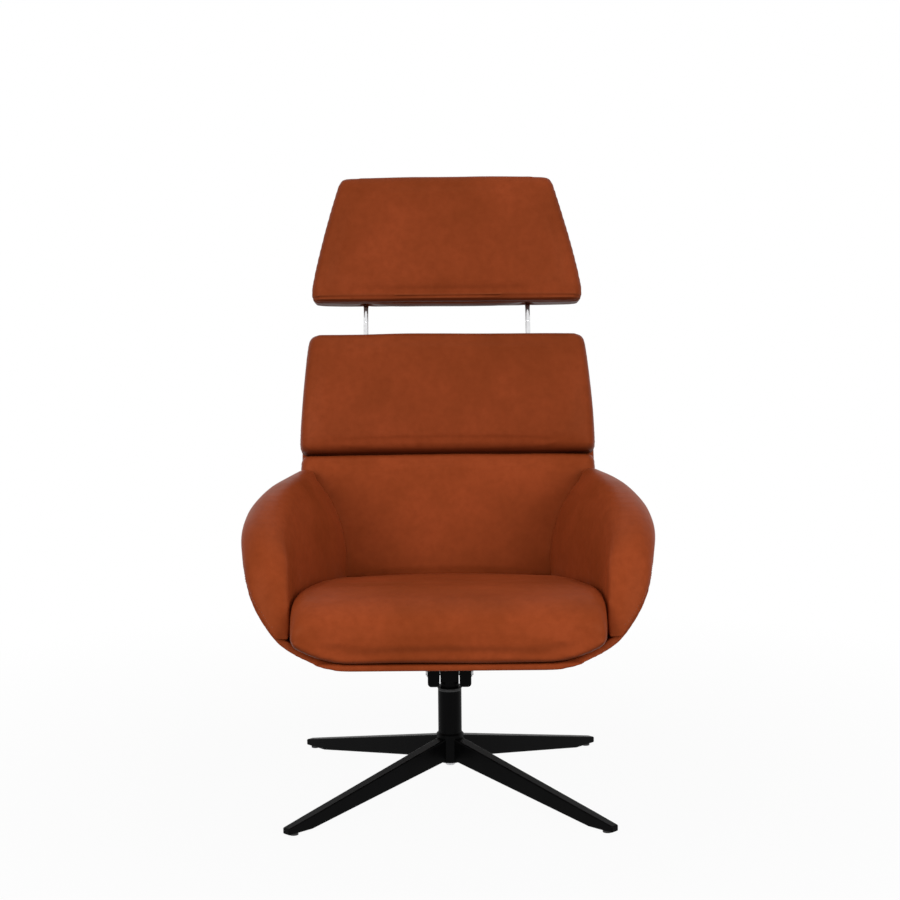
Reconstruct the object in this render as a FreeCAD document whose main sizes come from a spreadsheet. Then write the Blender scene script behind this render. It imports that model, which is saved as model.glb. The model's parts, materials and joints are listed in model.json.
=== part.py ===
import FreeCAD, Part
import math
import os
from types import SimpleNamespace

import Sketcher
from FreeCAD import Placement, Rotation, Vector

# Star base swivel recliner.
# Millimetres. The origin is on the floor, on the swivel axis. The sitter looks along -Y, +Z is up,
# and left and right are the sitter's own, so left is +X.

DRIVING_SIZES = (
    ("leg_count", 4, "legs of the star base"),
    ("leg_reach", 389, "swivel axis to the tip of a leg"),
    ("leg_root_width", 22, "leg width at the hub"),
    ("leg_tip_width", 17, "leg width at the tip"),
    ("leg_root_top", 94, "top of a leg at the hub"),
    ("leg_root_bottom", 53, "underside of a leg at the hub"),
    ("leg_tip_height", 11, "thickness of a leg at its tip"),
    ("leg_foot_length", 52, "level length of the underside at the tip"),
    ("leg_edge", 2.5, "rounding of the long edges of a leg"),
    ("glide_height", 3.2, "felt glide below the leg"),
    ("glide_radius", 8, "felt glide"),
    ("glide_inset", 17, "leg tip to the centre of its glide"),
    ("glide_stem_radius", 3, "stem of a glide"),
    ("glide_stem_length", 6, "stem of a glide"),
    ("hub_radius", 24.5, "hub of the star base"),
    ("hub_bottom", 50, "underside of the hub"),
    ("hub_top", 102, "top of the hub"),
    ("hub_floor", 8, "plate that closes the hub below"),
    ("hub_chamfer", 2.5, "chamfer round the top of the hub"),
    ("column_radius", 21.2, "column tube"),
    ("column_wall", 3, "wall of the column tube"),
    ("column_top", 180, "top of the column"),
    ("column_plug", 10, "threaded plug welded in the foot of the column"),
    ("bolt_radius", 5, "bolt from the hub into the column plug"),
    ("bolt_head_radius", 8.5, "head of the column bolt"),
    ("bolt_head_height", 6.5, "head of the column bolt"),
    ("washer_radius", 12, "washer under the head of the column bolt"),
    ("washer_thickness", 2, "washer under the head of the column bolt"),
    ("spindle_radius", 12.5, "swivel spindle"),
    ("spindle_foot", 84, "lower end of the spindle"),
    ("bush_length", 20, "each of the two swivel bushes"),
    ("bush_flange", 2, "flange of the upper bush"),
    ("running_fit", 0.04, "radial clearance of turning fits"),
    ("clip_thickness", 1.6, "retaining clips"),
    ("clip_width", 3, "radial width of a retaining clip"),
    ("end_play", 0.3, "gap beside a clip, a bumper or a soft piece"),
    ("thrust_thickness", 2.6, "thrust washer between column and head"),
    ("dish_radius", 23.5, "rim of the swivel head"),
    ("dish_rim", 2, "thickness of that rim"),
    ("dish_height", 13, "foot of the swivel head up to its block"),
    ("head_half_width", 16.5, "block of the swivel head that holds the tilt axle"),
    ("head_boss_radius", 19, "round top of that block"),
    ("axle_height", 213, "tilt axle above the floor"),
    ("axle_radius", 7, "tilt axle"),
    ("lug_inner", 18, "inner face of a tilt lug"),
    ("lug_outer", 39, "outer face of a tilt lug"),
    ("lug_bottom", 188.5, "underside of the tilt lugs"),
    ("lug_half_depth", 26, "tilt lugs, front to back"),
    ("lug_corner", 9, "rounded lower corners of the tilt lugs"),
    ("rubber_radius", 14, "torsion rubbers in the tilt lugs"),
    ("bumper_radius", 8, "rubber bumpers of the tilt"),
    ("bumper_reach", 58, "tilt axle to each bumper"),
    ("bumper_height", 9, "rubber bumpers of the tilt"),
    ("arm_bar_height", 12, "bars of the head that carry the bumpers"),
    ("tilt_range", 12, "degrees that the seat tilts back"),
    ("plate_half_width", 75, "top plate of the tilt bracket"),
    ("plate_half_depth", 85, "top plate of the tilt bracket"),
    ("plate_thickness", 6, "top plate of the tilt bracket"),
    ("plate_bolt_radius", 4, "bolts of the tilt bracket"),
    ("plate_bolt_inset", 15, "edge of the plate to its bolts"),
    ("seat_bottom", 271.8, "underside of the seat tub above the floor, at the swivel axis"),
    ("seat_slope", 2.25, "degrees that the seat falls to the rear"),
    ("tub_front", -291, "front lip of the tub"),
    ("tub_rear", 236, "rear lip of the tub"),
    ("tub_half_width", 357, "widest half width of the tub"),
    ("tub_widest_at", -150, "where the tub is widest"),
    ("tub_narrowing", 52, "half width lost at the rear end of the arms"),
    ("tub_corner", 180, "radius between the bottom and the sides of the tub"),
    ("tub_flare", 188, "widest half width to the centre of that radius"),
    ("tub_thickness", 12, "upholstered shell of the tub"),
    ("tub_rim_front", 14, "rim above the underside, across the front"),
    ("tub_rim_side", 182, "rim above the underside, along the sides"),
    ("tub_rim_rear", 30, "rim above the underside, below the back"),
    ("panel_half_width", 190, "plywood seat panel"),
    ("panel_front", -200, "front edge of the seat panel"),
    ("panel_rear", 215, "rear edge of the seat panel"),
    ("panel_thickness", 10, "plywood seat panel"),
    ("cushion_front", -303, "foremost point of the seat cushion"),
    ("cushion_rear", 152, "rear edge of the seat cushion"),
    ("cushion_roll", 96, "length over which the front edge rolls down"),
    ("cushion_corner", 8, "drawn-in front corners of the seat cushion"),
    ("cushion_half_width", 261, "seat cushion at the front"),
    ("cushion_rear_half_width", 184, "seat cushion at the rear"),
    ("cushion_crown", 136, "crown of the seat cushion above the underside of the tub"),
    ("cushion_rear_crown", 97, "seat cushion above the underside of the tub, at the rear"),
    ("arm_rear_height", 286, "top of the arm above the underside of the tub, at the rear"),
    ("arm_crest", 284, "ridge along the top of the arm, from the middle"),
    ("arm_fall", 60, "fall of the arm's top from the rear to its nose"),
    ("arm_nose", -160, "where the arm's top turns down"),
    ("arm_toe", -256, "foremost point of the arm"),
    ("back_lean", 18.2, "degrees that the back leans at rest"),
    ("back_foot_depth", 180, "front of the back, at its lower reference point"),
    ("back_foot_height", 375, "height of that point above the floor"),
    ("back_seam", 209, "seam between the two back pads, up the back from that point"),
    ("back_top", 453, "top of the back, up the back from that point"),
    ("back_drop", 32, "lower end of the back, down the back from that point"),
    ("back_half_width", 283, "back at the seam"),
    ("back_top_half_width", 266, "back at its top"),
    ("pad_thickness", 56, "back pads in front of the board"),
    ("pad_swell", 9, "bulge of the upper pad over the lower one"),
    ("pad_end_radius", 22, "rounding of the pads at their ends and at the seam"),
    ("shell_end_radius", 30, "rounding of the rear shell at its ends"),
    ("board_thickness", 10, "plywood board of the back"),
    ("board_inset", 24, "edge of the back to its board"),
    ("back_depth", 103, "front of the back to its rear"),
    ("pivot_back", 207, "recline pivot behind the swivel axis"),
    ("pivot_height", 331, "recline pivot above the floor"),
    ("pivot_radius", 6, "pins of the recline hinges"),
    ("hinge_spread", 140, "recline hinges from the middle"),
    ("hinge_plate", 6, "plates of the recline hinges"),
    ("hinge_eye", 15, "eyes of the recline hinges"),
    ("hinge_flange", 16, "screw flanges of the recline hinges"),
    ("friction_disc", 1.5, "friction discs of the recline hinges"),
    ("rod_spread", 158, "headrest rods from the middle"),
    ("rod_radius", 5, "headrest rods"),
    ("rod_depth", 45, "headrest rods behind the front of the back"),
    ("rod_insert", 136, "length of rod inside the back at rest"),
    ("rod_groove", 1.2, "depth of the detent groove"),
    ("sleeve_radius", 8, "guide sleeves of the rods"),
    ("sleeve_length", 96, "guide sleeves of the rods"),
    ("headrest_drop", 42, "travel of the headrest below its place at rest"),
    ("headrest_gap", 86, "top of the back to the headrest pivot, along the rods"),
    ("headrest_lean", 11.6, "degrees that the headrest leans at rest"),
    ("headrest_front", 56, "pivot to the front of the headrest"),
    ("headrest_rear", 29, "pivot to the rear of the headrest"),
    ("headrest_below", 21, "pivot to the underside of the headrest"),
    ("headrest_above", 226, "pivot to the top of the headrest"),
    ("headrest_half_width", 263, "headrest at its widest"),
    ("headrest_top_half_width", 212, "headrest below its top corners"),
    ("headrest_corner", 16, "top corners of the headrest"),
    ("headrest_end_radius", 22, "rounding of the headrest at its ends"),
    ("headrest_axle_radius", 6, "axle of the headrest"),
    ("headrest_eye", 9, "eyes on the rods and barrels on the board"),
    ("eye_width", 14, "eyes on the rods"),
    ("barrel_width", 30, "barrels on the headrest board"),
    ("headrest_board", 9, "plywood board in the headrest"),
    ("soft_gap", 0.4, "clearance of soft pieces"),
)

document = FreeCAD.newDocument("Recliner")
sheet = document.addObject("Spreadsheet::Sheet", "Sizes")


class Size:
    """A length, angle or count, with the sheet expression that gives it."""

    def __init__(self, value, text):
        self.value = float(value)
        self.text = text

    def __float__(self):
        return self.value

    def __neg__(self):
        return Size(-self.value, f"(-{self.text})")

    def __add__(self, other):
        other = as_size(other)
        return Size(self.value + other.value, f"({self.text} + {other.text})")

    def __sub__(self, other):
        other = as_size(other)
        return Size(self.value - other.value, f"({self.text} - {other.text})")

    def __mul__(self, other):
        other = as_size(other)
        return Size(self.value * other.value, f"({self.text} * {other.text})")

    def __truediv__(self, other):
        other = as_size(other)
        return Size(self.value / other.value, f"({self.text} / {other.text})")


def as_size(amount):
    """Wrap a plain number, so that it mixes with sizes from the sheet."""
    return amount if isinstance(amount, Size) else Size(amount, f"({float(amount)!r})")


def fill_sheet():
    """Write the driving sizes into the sheet and return them by name."""
    for row, (name, value, meaning) in enumerate(DRIVING_SIZES, start=1):
        sheet.set(f"A{row}", meaning)
        sheet.set(f"B{row}", str(value))
        sheet.setAlias(f"B{row}", name)
    document.recompute()
    named = {name: Size(sheet.get(name), f"Sizes.{name}") for name, _, _ in DRIVING_SIZES}
    return SimpleNamespace(**named)


s = fill_sheet()
nodes = []


def keep(item, label, frame=None):
    """Name a finished sub-part and put it in its frame."""
    if frame is not None and item.TypeId in ("Part::Box", "Part::Cylinder"):
        item.Label = label + "_solid"
        item = grouped(label + "_placed", [item])
    item.Label = label
    if item.Label != label:
        raise RuntimeError(f"another object is already called {label}")
    if frame is not None:
        item.Placement = frame
    nodes.append(item)
    return item


def bind(item, name, amount):
    """Tie one property of an object to the sheet."""
    item.setExpression(name, as_size(amount).text)


ALONG_X = Rotation(Vector(0, 1, 0), 90)
UPRIGHT = Rotation()


def put(item, x, y, z, turn=UPRIGHT):
    """Place an object, with its position tied to the sheet."""
    item.Placement = Placement(Vector(float(x), float(y), float(z)), turn)
    for axis, amount in zip("xyz", (x, y, z)):
        bind(item, "Placement.Base." + axis, amount)
    return item


def cylinder(name, radius, length, x=0, y=0, z=0, turn=UPRIGHT):
    item = document.addObject("Part::Cylinder", name)
    bind(item, "Radius", radius)
    bind(item, "Height", length)
    return put(item, x, y, z, turn)


def box(name, x, y, z, width, depth, height):
    """A box by its lowest corner and its three sizes."""
    item = document.addObject("Part::Box", name)
    bind(item, "Length", width)
    bind(item, "Width", depth)
    bind(item, "Height", height)
    return put(item, x, y, z)


def joined(name, *items):
    item = document.addObject("Part::MultiFuse", name)
    item.Shapes = list(items)
    return item


def without(name, base, *tools):
    item = document.addObject("Part::Cut", name)
    item.Base = base
    item.Tool = tools[0] if len(tools) == 1 else joined(name + "_tools", *tools)
    return item


def grouped(name, items):
    item = document.addObject("Part::Compound", name)
    item.Links = list(items)
    return item


def ring(name, outer, inner, length, x=0, y=0, z=0, turn=UPRIGHT):
    return without(
        name,
        cylinder(name + "_outside", outer, length, x, y, z, turn),
        cylinder(name + "_bore", inner, length, x, y, z, turn),
    )


def origin_plane(body, role):
    return next(plane for plane in body.Origin.OriginFeatures if plane.Role == role)


def outline(body, name, role, corners, offset=0):
    """A closed sketch through corners, each tied to the sheet, on one of the body's own planes."""
    sketch = body.newObject("Sketcher::SketchObject", name)
    sketch.AttachmentSupport = [(origin_plane(body, role), "")]
    sketch.MapMode = "FlatFace"
    if float(offset):
        sketch.AttachmentOffset = Placement(Vector(0, 0, float(offset)), UPRIGHT)
        bind(sketch, "AttachmentOffset.Base.z", offset)
    points = [Vector(float(across), float(up), 0) for across, up in corners]
    count = len(points)
    for index in range(count):
        sketch.addGeometry(Part.LineSegment(points[index], points[(index + 1) % count]))
    for index in range(count):
        sketch.addConstraint(Sketcher.Constraint("Coincident", index, 2, (index + 1) % count, 1))
    for index, corner in enumerate(corners):
        for kind, amount in zip(("DistanceX", "DistanceY"), corner):
            amount = as_size(amount)
            row = sketch.addConstraint(Sketcher.Constraint(kind, -1, 1, index, 1, float(amount)))
            sketch.setExpression(f"Constraints[{row}]", amount.text)
    return sketch


def turned(name, corners):
    """A body turned about Z from (radius, height) corners."""
    body = document.addObject("PartDesign::Body", name)
    sketch = outline(body, name + "_profile", "XZ_Plane", corners)
    turn = body.newObject("PartDesign::Revolution", name + "_turn")
    turn.Profile = sketch
    turn.ReferenceAxis = (sketch, ["V_Axis"])
    turn.Angle = 360
    return body


def computed(name, shape):
    item = document.addObject("Part::Feature", name)
    item.Shape = shape
    return item


def lofted(sections, ruled=False):
    """A solid through closed sections of straight and three-point edges."""
    return Part.makeLoft(sections, True, ruled)


def section(plane_point, edges):
    """A closed wire: each edge is (start, end) or (start, middle, end) in the section's plane."""
    made = []
    for edge in edges:
        points = [plane_point(*corner) for corner in edge]
        if len(points) == 2:
            made.append(Part.LineSegment(*points).toShape())
        else:
            made.append(Part.Arc(*points).toShape())
    return Part.Wire(made)


def mirrored(shape):
    return shape.mirror(Vector(0, 0, 0), Vector(1, 0, 0))


def end_draw(distance, radius):
    """How far a rounded end is drawn in, at a distance from the end."""
    depth = distance + radius * 0.15
    if depth >= radius:
        return 0.0
    return radius - math.sqrt(radius ** 2 - (radius - depth) ** 2)


def end_stations(low, high, radius, middle_count):
    """Places of the sections of a stuffed piece: close at its rounded ends, even between them."""
    steps = [radius * share for share in (0.0, 0.12, 0.35, 0.70, 1.15, 1.8)]
    start = low + steps[-1]
    stretch = high - steps[-1] - start
    middle = [start + stretch * index / (middle_count + 1) for index in range(1, middle_count + 1)]
    return [low + step for step in steps] + middle + [high - step for step in reversed(steps)]


def between(low, high, share):
    return low + (high - low) * share


# Frames that the sloping pieces are built in

LEAN_AXIS = Vector(1, 0, 0)
seat_frame = Placement(Vector(0, 0, float(s.seat_bottom)), Rotation(LEAN_AXIS, -float(s.seat_slope)))
back_frame = Placement(
    Vector(0, float(s.back_foot_depth), float(s.back_foot_height)),
    Rotation(LEAN_AXIS, -float(s.back_lean)),
)
headrest_pivot = back_frame.multVec(
    Vector(0, float(s.rod_depth), float(s.back_top) + float(s.headrest_gap))
)
headrest_frame = Placement(headrest_pivot, Rotation(LEAN_AXIS, -float(s.headrest_lean)))
recline_pivot = Vector(0, float(s.pivot_back), float(s.pivot_height))
pivot_in_seat = seat_frame.inverse().multVec(recline_pivot)
pivot_in_back = back_frame.inverse().multVec(recline_pivot)


# Star base

def star_base():
    """Four tapered bars welded round a short hub with a floor."""
    bore = s.column_radius + s.running_fit
    bolt_hole = s.bolt_radius + 0.5
    body = turned("star", (
        (bolt_hole, s.hub_bottom),
        (s.hub_radius, s.hub_bottom),
        (s.hub_radius, s.hub_top - s.hub_chamfer),
        (s.hub_radius - s.hub_chamfer, s.hub_top),
        (bore, s.hub_top),
        (bore, s.hub_bottom + s.hub_floor),
        (bolt_hole, s.hub_bottom + s.hub_floor),
    ))
    root = s.hub_radius - 2.9
    heel = s.leg_reach - s.leg_foot_length
    top_of_tip = s.glide_height + s.leg_tip_height
    fall = (s.leg_root_top - top_of_tip) / (s.leg_reach - root)
    stations = (
        (root, s.leg_root_width, s.leg_root_bottom, s.leg_root_top),
        (heel, s.leg_tip_width + 2, s.glide_height, top_of_tip + fall * s.leg_foot_length),
        (s.leg_reach, s.leg_tip_width, s.glide_height, top_of_tip),
    )
    sketches = []
    for index, (reach, width, low, high) in enumerate(stations):
        half = width / 2
        corners = ((-half, low), (half, low), (half, high), (-half, high))
        sketches.append(outline(body, f"leg_section_{index}", "YZ_Plane", corners, reach))
    leg = body.newObject("PartDesign::AdditiveLoft", "leg")
    leg.Profile = sketches[0]
    leg.Sections = sketches[1:]
    leg.Ruled = True
    document.recompute()
    pattern = body.newObject("PartDesign::PolarPattern", "legs")
    pattern.Originals = [leg]
    pattern.Axis = (next(a for a in body.Origin.OriginFeatures if a.Role == "Z_Axis"), [""])
    pattern.Angle = 360
    bind(pattern, "Occurrences", s.leg_count)
    body.Tip = pattern
    document.recompute()
    outside = float(s.hub_radius)
    long_edges = []
    for number, edge in enumerate(pattern.Shape.Edges, start=1):
        centre = edge.CenterOfMass
        if math.hypot(centre.x, centre.y) > outside * 1.5:
            long_edges.append(f"Edge{number}")
    rounding = body.newObject("PartDesign::Fillet", "leg_rounding")
    rounding.Base = (pattern, long_edges)
    bind(rounding, "Radius", s.leg_edge)
    body.Tip = rounding
    body.Placement = Placement(Vector(), Rotation(Vector(0, 0, 1), 180 / float(s.leg_count)))
    stems = [
        cylinder(
            f"stem_hole_{index}", s.glide_stem_radius, s.glide_stem_length,
            *leg_point(index), s.glide_height,
        )
        for index in range(int(float(s.leg_count)))
    ]
    return keep(without("star_base", body, *stems), "star_base")


def leg_point(index):
    """Plan position of the glide under one leg."""
    angle = math.radians(360 * (index + 0.5) / float(s.leg_count))
    reach = s.leg_reach - s.glide_inset
    return reach * math.cos(angle), reach * math.sin(angle)


def leg_glides():
    glides = []
    for index in range(int(float(s.leg_count))):
        x, y = leg_point(index)
        pad = cylinder(f"glide_pad_{index}", s.glide_radius, s.glide_height, x, y, 0)
        stem = cylinder(
            f"glide_stem_{index}", s.glide_stem_radius, s.glide_stem_length + 1,
            x, y, s.glide_height - 1,
        )
        glides.append(joined(f"glide_{index}", pad, stem))
    return keep(grouped("leg_glides", glides), "leg_glides")


def column_tube():
    foot = s.hub_bottom + s.hub_floor
    bore = s.column_radius - s.column_wall
    return keep(turned("column_tube", (
        (s.bolt_radius, foot),
        (s.column_radius, foot),
        (s.column_radius, s.column_top),
        (bore, s.column_top),
        (bore, foot + s.column_plug),
        (s.bolt_radius, foot + s.column_plug),
    )), "column_tube")


def column_bolt():
    under = s.hub_bottom - s.washer_thickness
    tip = s.hub_bottom + s.hub_floor + s.column_plug
    shank = cylinder("bolt_shank", s.bolt_radius, tip - under, 0, 0, under)
    head = document.addObject("Part::Prism", "bolt_head")
    head.Polygon = 6
    bind(head, "Circumradius", s.bolt_head_radius)
    bind(head, "Height", s.bolt_head_height)
    put(head, 0, 0, under - s.bolt_head_height)
    keep(joined("column_bolt", shank, head), "column_bolt")
    washer = ring(
        "column_washer", s.washer_radius, s.bolt_radius + s.running_fit,
        s.washer_thickness, 0, 0, under,
    )
    return keep(washer, "column_washer")


# Swivel

def swivel_bearings():
    """Two plain bushes in the column and a thrust washer on top of it."""
    bore = s.spindle_radius + s.running_fit
    seat = s.column_radius - s.column_wall
    foot = s.spindle_foot + s.clip_thickness * 2
    keep(ring("swivel_bush_lower", seat, bore, s.bush_length, 0, 0, foot), "swivel_bush_lower")
    low = s.column_top - s.bush_length
    keep(turned("swivel_bush_upper", (
        (bore, low),
        (seat, low),
        (seat, s.column_top),
        (s.column_radius, s.column_top),
        (s.column_radius, s.column_top + s.bush_flange),
        (bore, s.column_top + s.bush_flange),
    )), "swivel_bush_upper")
    washer = ring(
        "thrust_washer", s.column_radius - 1, bore, s.thrust_thickness,
        0, 0, s.column_top + s.bush_flange,
    )
    keep(washer, "thrust_washer")


def swivel_spindle():
    """A turned spindle that hangs in the bushes and is held by a clip below the lower one."""
    head_base = s.column_top + s.bush_flange + s.thrust_thickness
    groove = s.spindle_radius - 1
    clip_top = s.spindle_foot + s.clip_thickness * 2 - s.end_play
    clip_low = clip_top - s.clip_thickness
    keep(turned("spindle", (
        (0, s.spindle_foot - s.clip_thickness),
        (groove, s.spindle_foot - s.clip_thickness),
        (s.spindle_radius, s.spindle_foot - s.clip_thickness + 1),
        (s.spindle_radius, clip_low),
        (groove, clip_low),
        (groove, clip_top),
        (s.spindle_radius, clip_top),
        (s.spindle_radius, head_base + s.dish_height),
        (0, head_base + s.dish_height),
    )), "spindle")
    clip = ring("spindle_clip", s.spindle_radius + s.clip_width, groove, s.clip_thickness, 0, 0, clip_low)
    return keep(clip, "spindle_clip")


def bumper_tops():
    """Heights of the front and rear bumpers that stop the tilt at rest and at its limit."""
    slope = math.radians(float(s.seat_slope))
    limit = slope + math.radians(float(s.tilt_range))
    rise = float(s.seat_bottom - s.plate_thickness - s.axle_height)
    clear = rise * math.cos(slope)
    reach = float(s.bumper_reach)
    half = float(s.bumper_radius)
    front = clear / math.cos(slope) + (reach - half) * math.tan(slope)
    rear = clear / math.cos(limit) - (reach + half) * math.tan(limit)
    play = float(s.end_play)
    return float(s.axle_height) + front - play, float(s.axle_height) + rear - play


def swivel_head():
    """Dish on the column, block round the tilt axle, and two bars for the bumpers."""
    base = s.column_top + s.bush_flange + s.thrust_thickness
    dish = turned("head_dish", (
        (s.spindle_radius, base),
        (s.dish_radius - 1, base),
        (s.dish_radius, base + s.dish_rim / 2),
        (s.dish_radius, base + s.dish_rim),
        (s.head_half_width, base + s.dish_rim + 0.4),
        (s.head_half_width, base + s.dish_height),
        (s.spindle_radius, base + s.dish_height),
    ))
    block = box(
        "head_block", -s.head_half_width, -s.head_boss_radius, base + s.dish_height,
        s.head_half_width * 2, s.head_boss_radius * 2, s.axle_height - base - s.dish_height,
    )
    boss = cylinder(
        "head_boss", s.head_boss_radius, s.head_half_width * 2,
        -s.head_half_width, 0, s.axle_height, ALONG_X,
    )
    front_top, rear_top = bumper_tops()
    bars = []
    for side, top, name in ((-1, front_top, "front"), (1, rear_top, "rear")):
        low = top - float(s.bumper_height) - float(s.arm_bar_height)
        start = as_size(-1 * (float(s.bumper_reach) + float(s.bumper_radius)) if side < 0 else 0)
        bars.append(box(
            f"head_bar_{name}", -s.bumper_radius, start, low,
            s.bumper_radius * 2, s.bumper_reach + s.bumper_radius, s.arm_bar_height,
        ))
    riser_top = front_top - float(s.bumper_height)
    riser = box(
        "head_riser", -s.bumper_radius, -s.bumper_radius, s.axle_height,
        s.bumper_radius * 2, s.bumper_radius * 2, riser_top - float(s.axle_height),
    )
    bore = cylinder(
        "head_bore", s.axle_radius + s.running_fit, s.head_half_width * 2,
        -s.head_half_width, 0, s.axle_height, ALONG_X,
    )
    seat = cylinder("head_spindle_seat", s.spindle_radius, s.dish_height, 0, 0, base)
    solid = joined("head_solid", dish, block, boss, riser, *bars)
    return keep(without("swivel_head", solid, bore, seat), "swivel_head")


def tilt_bumpers():
    tops = bumper_tops()
    reaches = (-s.bumper_reach, s.bumper_reach)
    pads = [
        cylinder(
            f"bumper_{index}", s.bumper_radius, s.bumper_height,
            0, reach, top - float(s.bumper_height),
        )
        for index, (reach, top) in enumerate(zip(reaches, tops))
    ]
    return keep(grouped("tilt_bumpers", pads), "tilt_bumpers")


def tilt_axle():
    """Axle through the head and both lugs, with a clip at each end."""
    groove = s.axle_radius - 0.8
    clip_at = s.lug_outer + s.end_play
    tip = clip_at + s.clip_thickness + 2
    shaft = cylinder("axle_shaft", s.axle_radius, tip * 2, -tip, 0, s.axle_height, ALONG_X)
    clips = []
    grooves = []
    for index, start in enumerate((clip_at, -clip_at - s.clip_thickness)):
        place = (start, 0, s.axle_height, ALONG_X)
        clips.append(ring(f"axle_clip_{index}", s.axle_radius + s.clip_width, groove, s.clip_thickness, *place))
        grooves.append(ring(f"axle_groove_{index}", s.axle_radius + 1, groove, s.clip_thickness, *place))
    keep(without("tilt_axle", shaft, *grooves), "tilt_axle")
    return keep(grouped("axle_clips", clips), "axle_clips")


# Seat

def tilt_bracket():
    """Plate under the tub with two cast lugs round the torsion rubbers."""
    top = s.seat_bottom - s.plate_thickness / 2
    lugs = []
    for side, name in ((1, "left"), (-1, "right")):
        inner = s.lug_inner * side
        outer = s.lug_outer * side
        body = document.addObject("PartDesign::Body", f"lug_{name}")
        corners = ((inner, s.lug_bottom), (outer, s.lug_bottom), (outer, top), (inner, top))
        sketch = outline(body, f"lug_{name}_profile", "XZ_Plane", corners)
        pad = body.newObject("PartDesign::Pad", f"lug_{name}_pad")
        pad.Profile = sketch
        pad.Midplane = True
        bind(pad, "Length", s.lug_half_depth * 2)
        document.recompute()
        low_edges = [
            f"Edge{number}"
            for number, edge in enumerate(pad.Shape.Edges, start=1)
            if edge.BoundBox.ZMax < float(s.lug_bottom) + 1
        ]
        rounding = body.newObject("PartDesign::Fillet", f"lug_{name}_rounding")
        rounding.Base = (pad, low_edges)
        bind(rounding, "Radius", s.lug_corner)
        lugs.append(body)
    plate = box(
        "bracket_plate", -s.plate_half_width, -s.plate_half_depth, -s.plate_thickness,
        s.plate_half_width * 2, s.plate_half_depth * 2, s.plate_thickness,
    )
    holes = bolt_holes("bracket_hole", -s.plate_thickness, s.plate_thickness)
    drilled = without("drilled_plate", plate, *holes)
    drilled.Placement = seat_frame
    bore = cylinder(
        "lug_bore", s.rubber_radius, s.lug_outer * 2, -s.lug_outer, 0, s.axle_height, ALONG_X,
    )
    return keep(without("tilt_bracket", joined("bracket_solid", drilled, *lugs), bore), "tilt_bracket")


def bolt_places():
    x = s.plate_half_width - s.plate_bolt_inset
    y = s.plate_half_depth - s.plate_bolt_inset
    return [(x, y), (-x, y), (-x, -y), (x, -y)]


def bolt_holes(name, low, length):
    """Through holes of the bracket bolts, in the seat's frame."""
    radius = s.plate_bolt_radius + s.running_fit
    return [
        cylinder(f"{name}_{index}", radius, length, x, y, low)
        for index, (x, y) in enumerate(bolt_places())
    ]


def bracket_bolts():
    """Four bolts up through the plate, the tub and the seat panel."""
    bolts = []
    head_low = -s.plate_thickness - 4
    high = s.tub_thickness + s.panel_thickness
    for index, (x, y) in enumerate(bolt_places()):
        shank = cylinder(f"bracket_shank_{index}", s.plate_bolt_radius, high - head_low, x, y, head_low)
        head = cylinder(f"bracket_head_{index}", s.plate_bolt_radius * 1.8, 4, x, y, head_low)
        bolts.append(joined(f"bracket_bolt_{index}", shank, head))
    return keep(grouped("bracket_bolts", bolts), "bracket_bolts", seat_frame)


def torsion_rubbers():
    """Rubber sleeves between the axle and the lugs, which push the seat back to level."""
    length = s.lug_outer - s.lug_inner
    for side, start in (("left", s.lug_inner), ("right", -s.lug_outer)):
        name = f"torsion_rubber_{side}"
        sleeve = ring(
            name, s.rubber_radius, s.axle_radius + s.running_fit, length,
            start, 0, s.axle_height, ALONG_X,
        )
        keep(sleeve, name)


def seat_panel():
    board = box(
        "panel_board", -s.panel_half_width, s.panel_front, s.tub_thickness,
        s.panel_half_width * 2, s.panel_rear - s.panel_front, s.panel_thickness,
    )
    inside = document.addObject("Part::Common", "panel_in_tub")
    inside.Base = board
    inside.Tool = computed("tub_inside", tub_block(float(s.tub_thickness), float(s.tub_rim_side)))
    holes = bolt_holes("panel_hole", s.tub_thickness, s.panel_thickness)
    return keep(without("seat_panel", inside, *holes), "seat_panel", seat_frame)


def tub_half_width(y):
    """Half width of the tub at its rim height: widest near the front, drawn in to the rear."""
    widest = float(s.tub_widest_at)
    arm_end = float(s.back_foot_depth)
    lost = float(s.tub_narrowing) * ((y - widest) / (arm_end - widest)) ** 2
    return float(s.tub_half_width) - lost


SIDE_TURN = math.radians(80)


def tub_side(y, up, inset=0.0):
    """Distance of the tub's surface from the middle, at a height above its underside."""
    corner = float(s.tub_corner)
    centre = tub_half_width(y) - float(s.tub_flare)
    turn_up = corner - corner * math.cos(SIDE_TURN)
    if up <= turn_up:
        below = min(corner - up, corner - inset)
        return centre + math.sqrt(max((corner - inset) ** 2 - below ** 2, 0.0))
    lean = (float(s.tub_flare) - corner * math.sin(SIDE_TURN)) / 82
    reach = corner * math.sin(SIDE_TURN) + lean * min(up - turn_up, 82)
    return centre + reach - inset


def tub_block(inset, top):
    """Everything inside the tub's outer surface, moved in by an inset, up to a height."""
    front, rear = float(s.tub_front), float(s.tub_rear)
    sections = []
    for y in (front, -220.0, float(s.tub_widest_at), -60.0, 30.0, 120.0, rear):
        centre = tub_half_width(y) - float(s.tub_flare)
        corner = float(s.tub_corner)
        radius = corner - inset
        half_turn = SIDE_TURN / 2
        middle = (centre + radius * math.sin(half_turn), corner - radius * math.cos(half_turn))
        shoulder = (centre + radius * math.sin(SIDE_TURN), corner - radius * math.cos(SIDE_TURN))
        brim = (tub_half_width(y) - inset, top)
        floor = (centre, inset)

        def flip(point):
            return (-point[0], point[1])

        sections.append(section(lambda x, z, y=y: Vector(x, y, z), (
            (flip(floor), floor),
            (floor, middle, shoulder),
            (shoulder, brim),
            (brim, flip(brim)),
            (flip(brim), flip(shoulder)),
            (flip(shoulder), flip(middle), flip(floor)),
        )))
    return lofted(sections)


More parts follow.
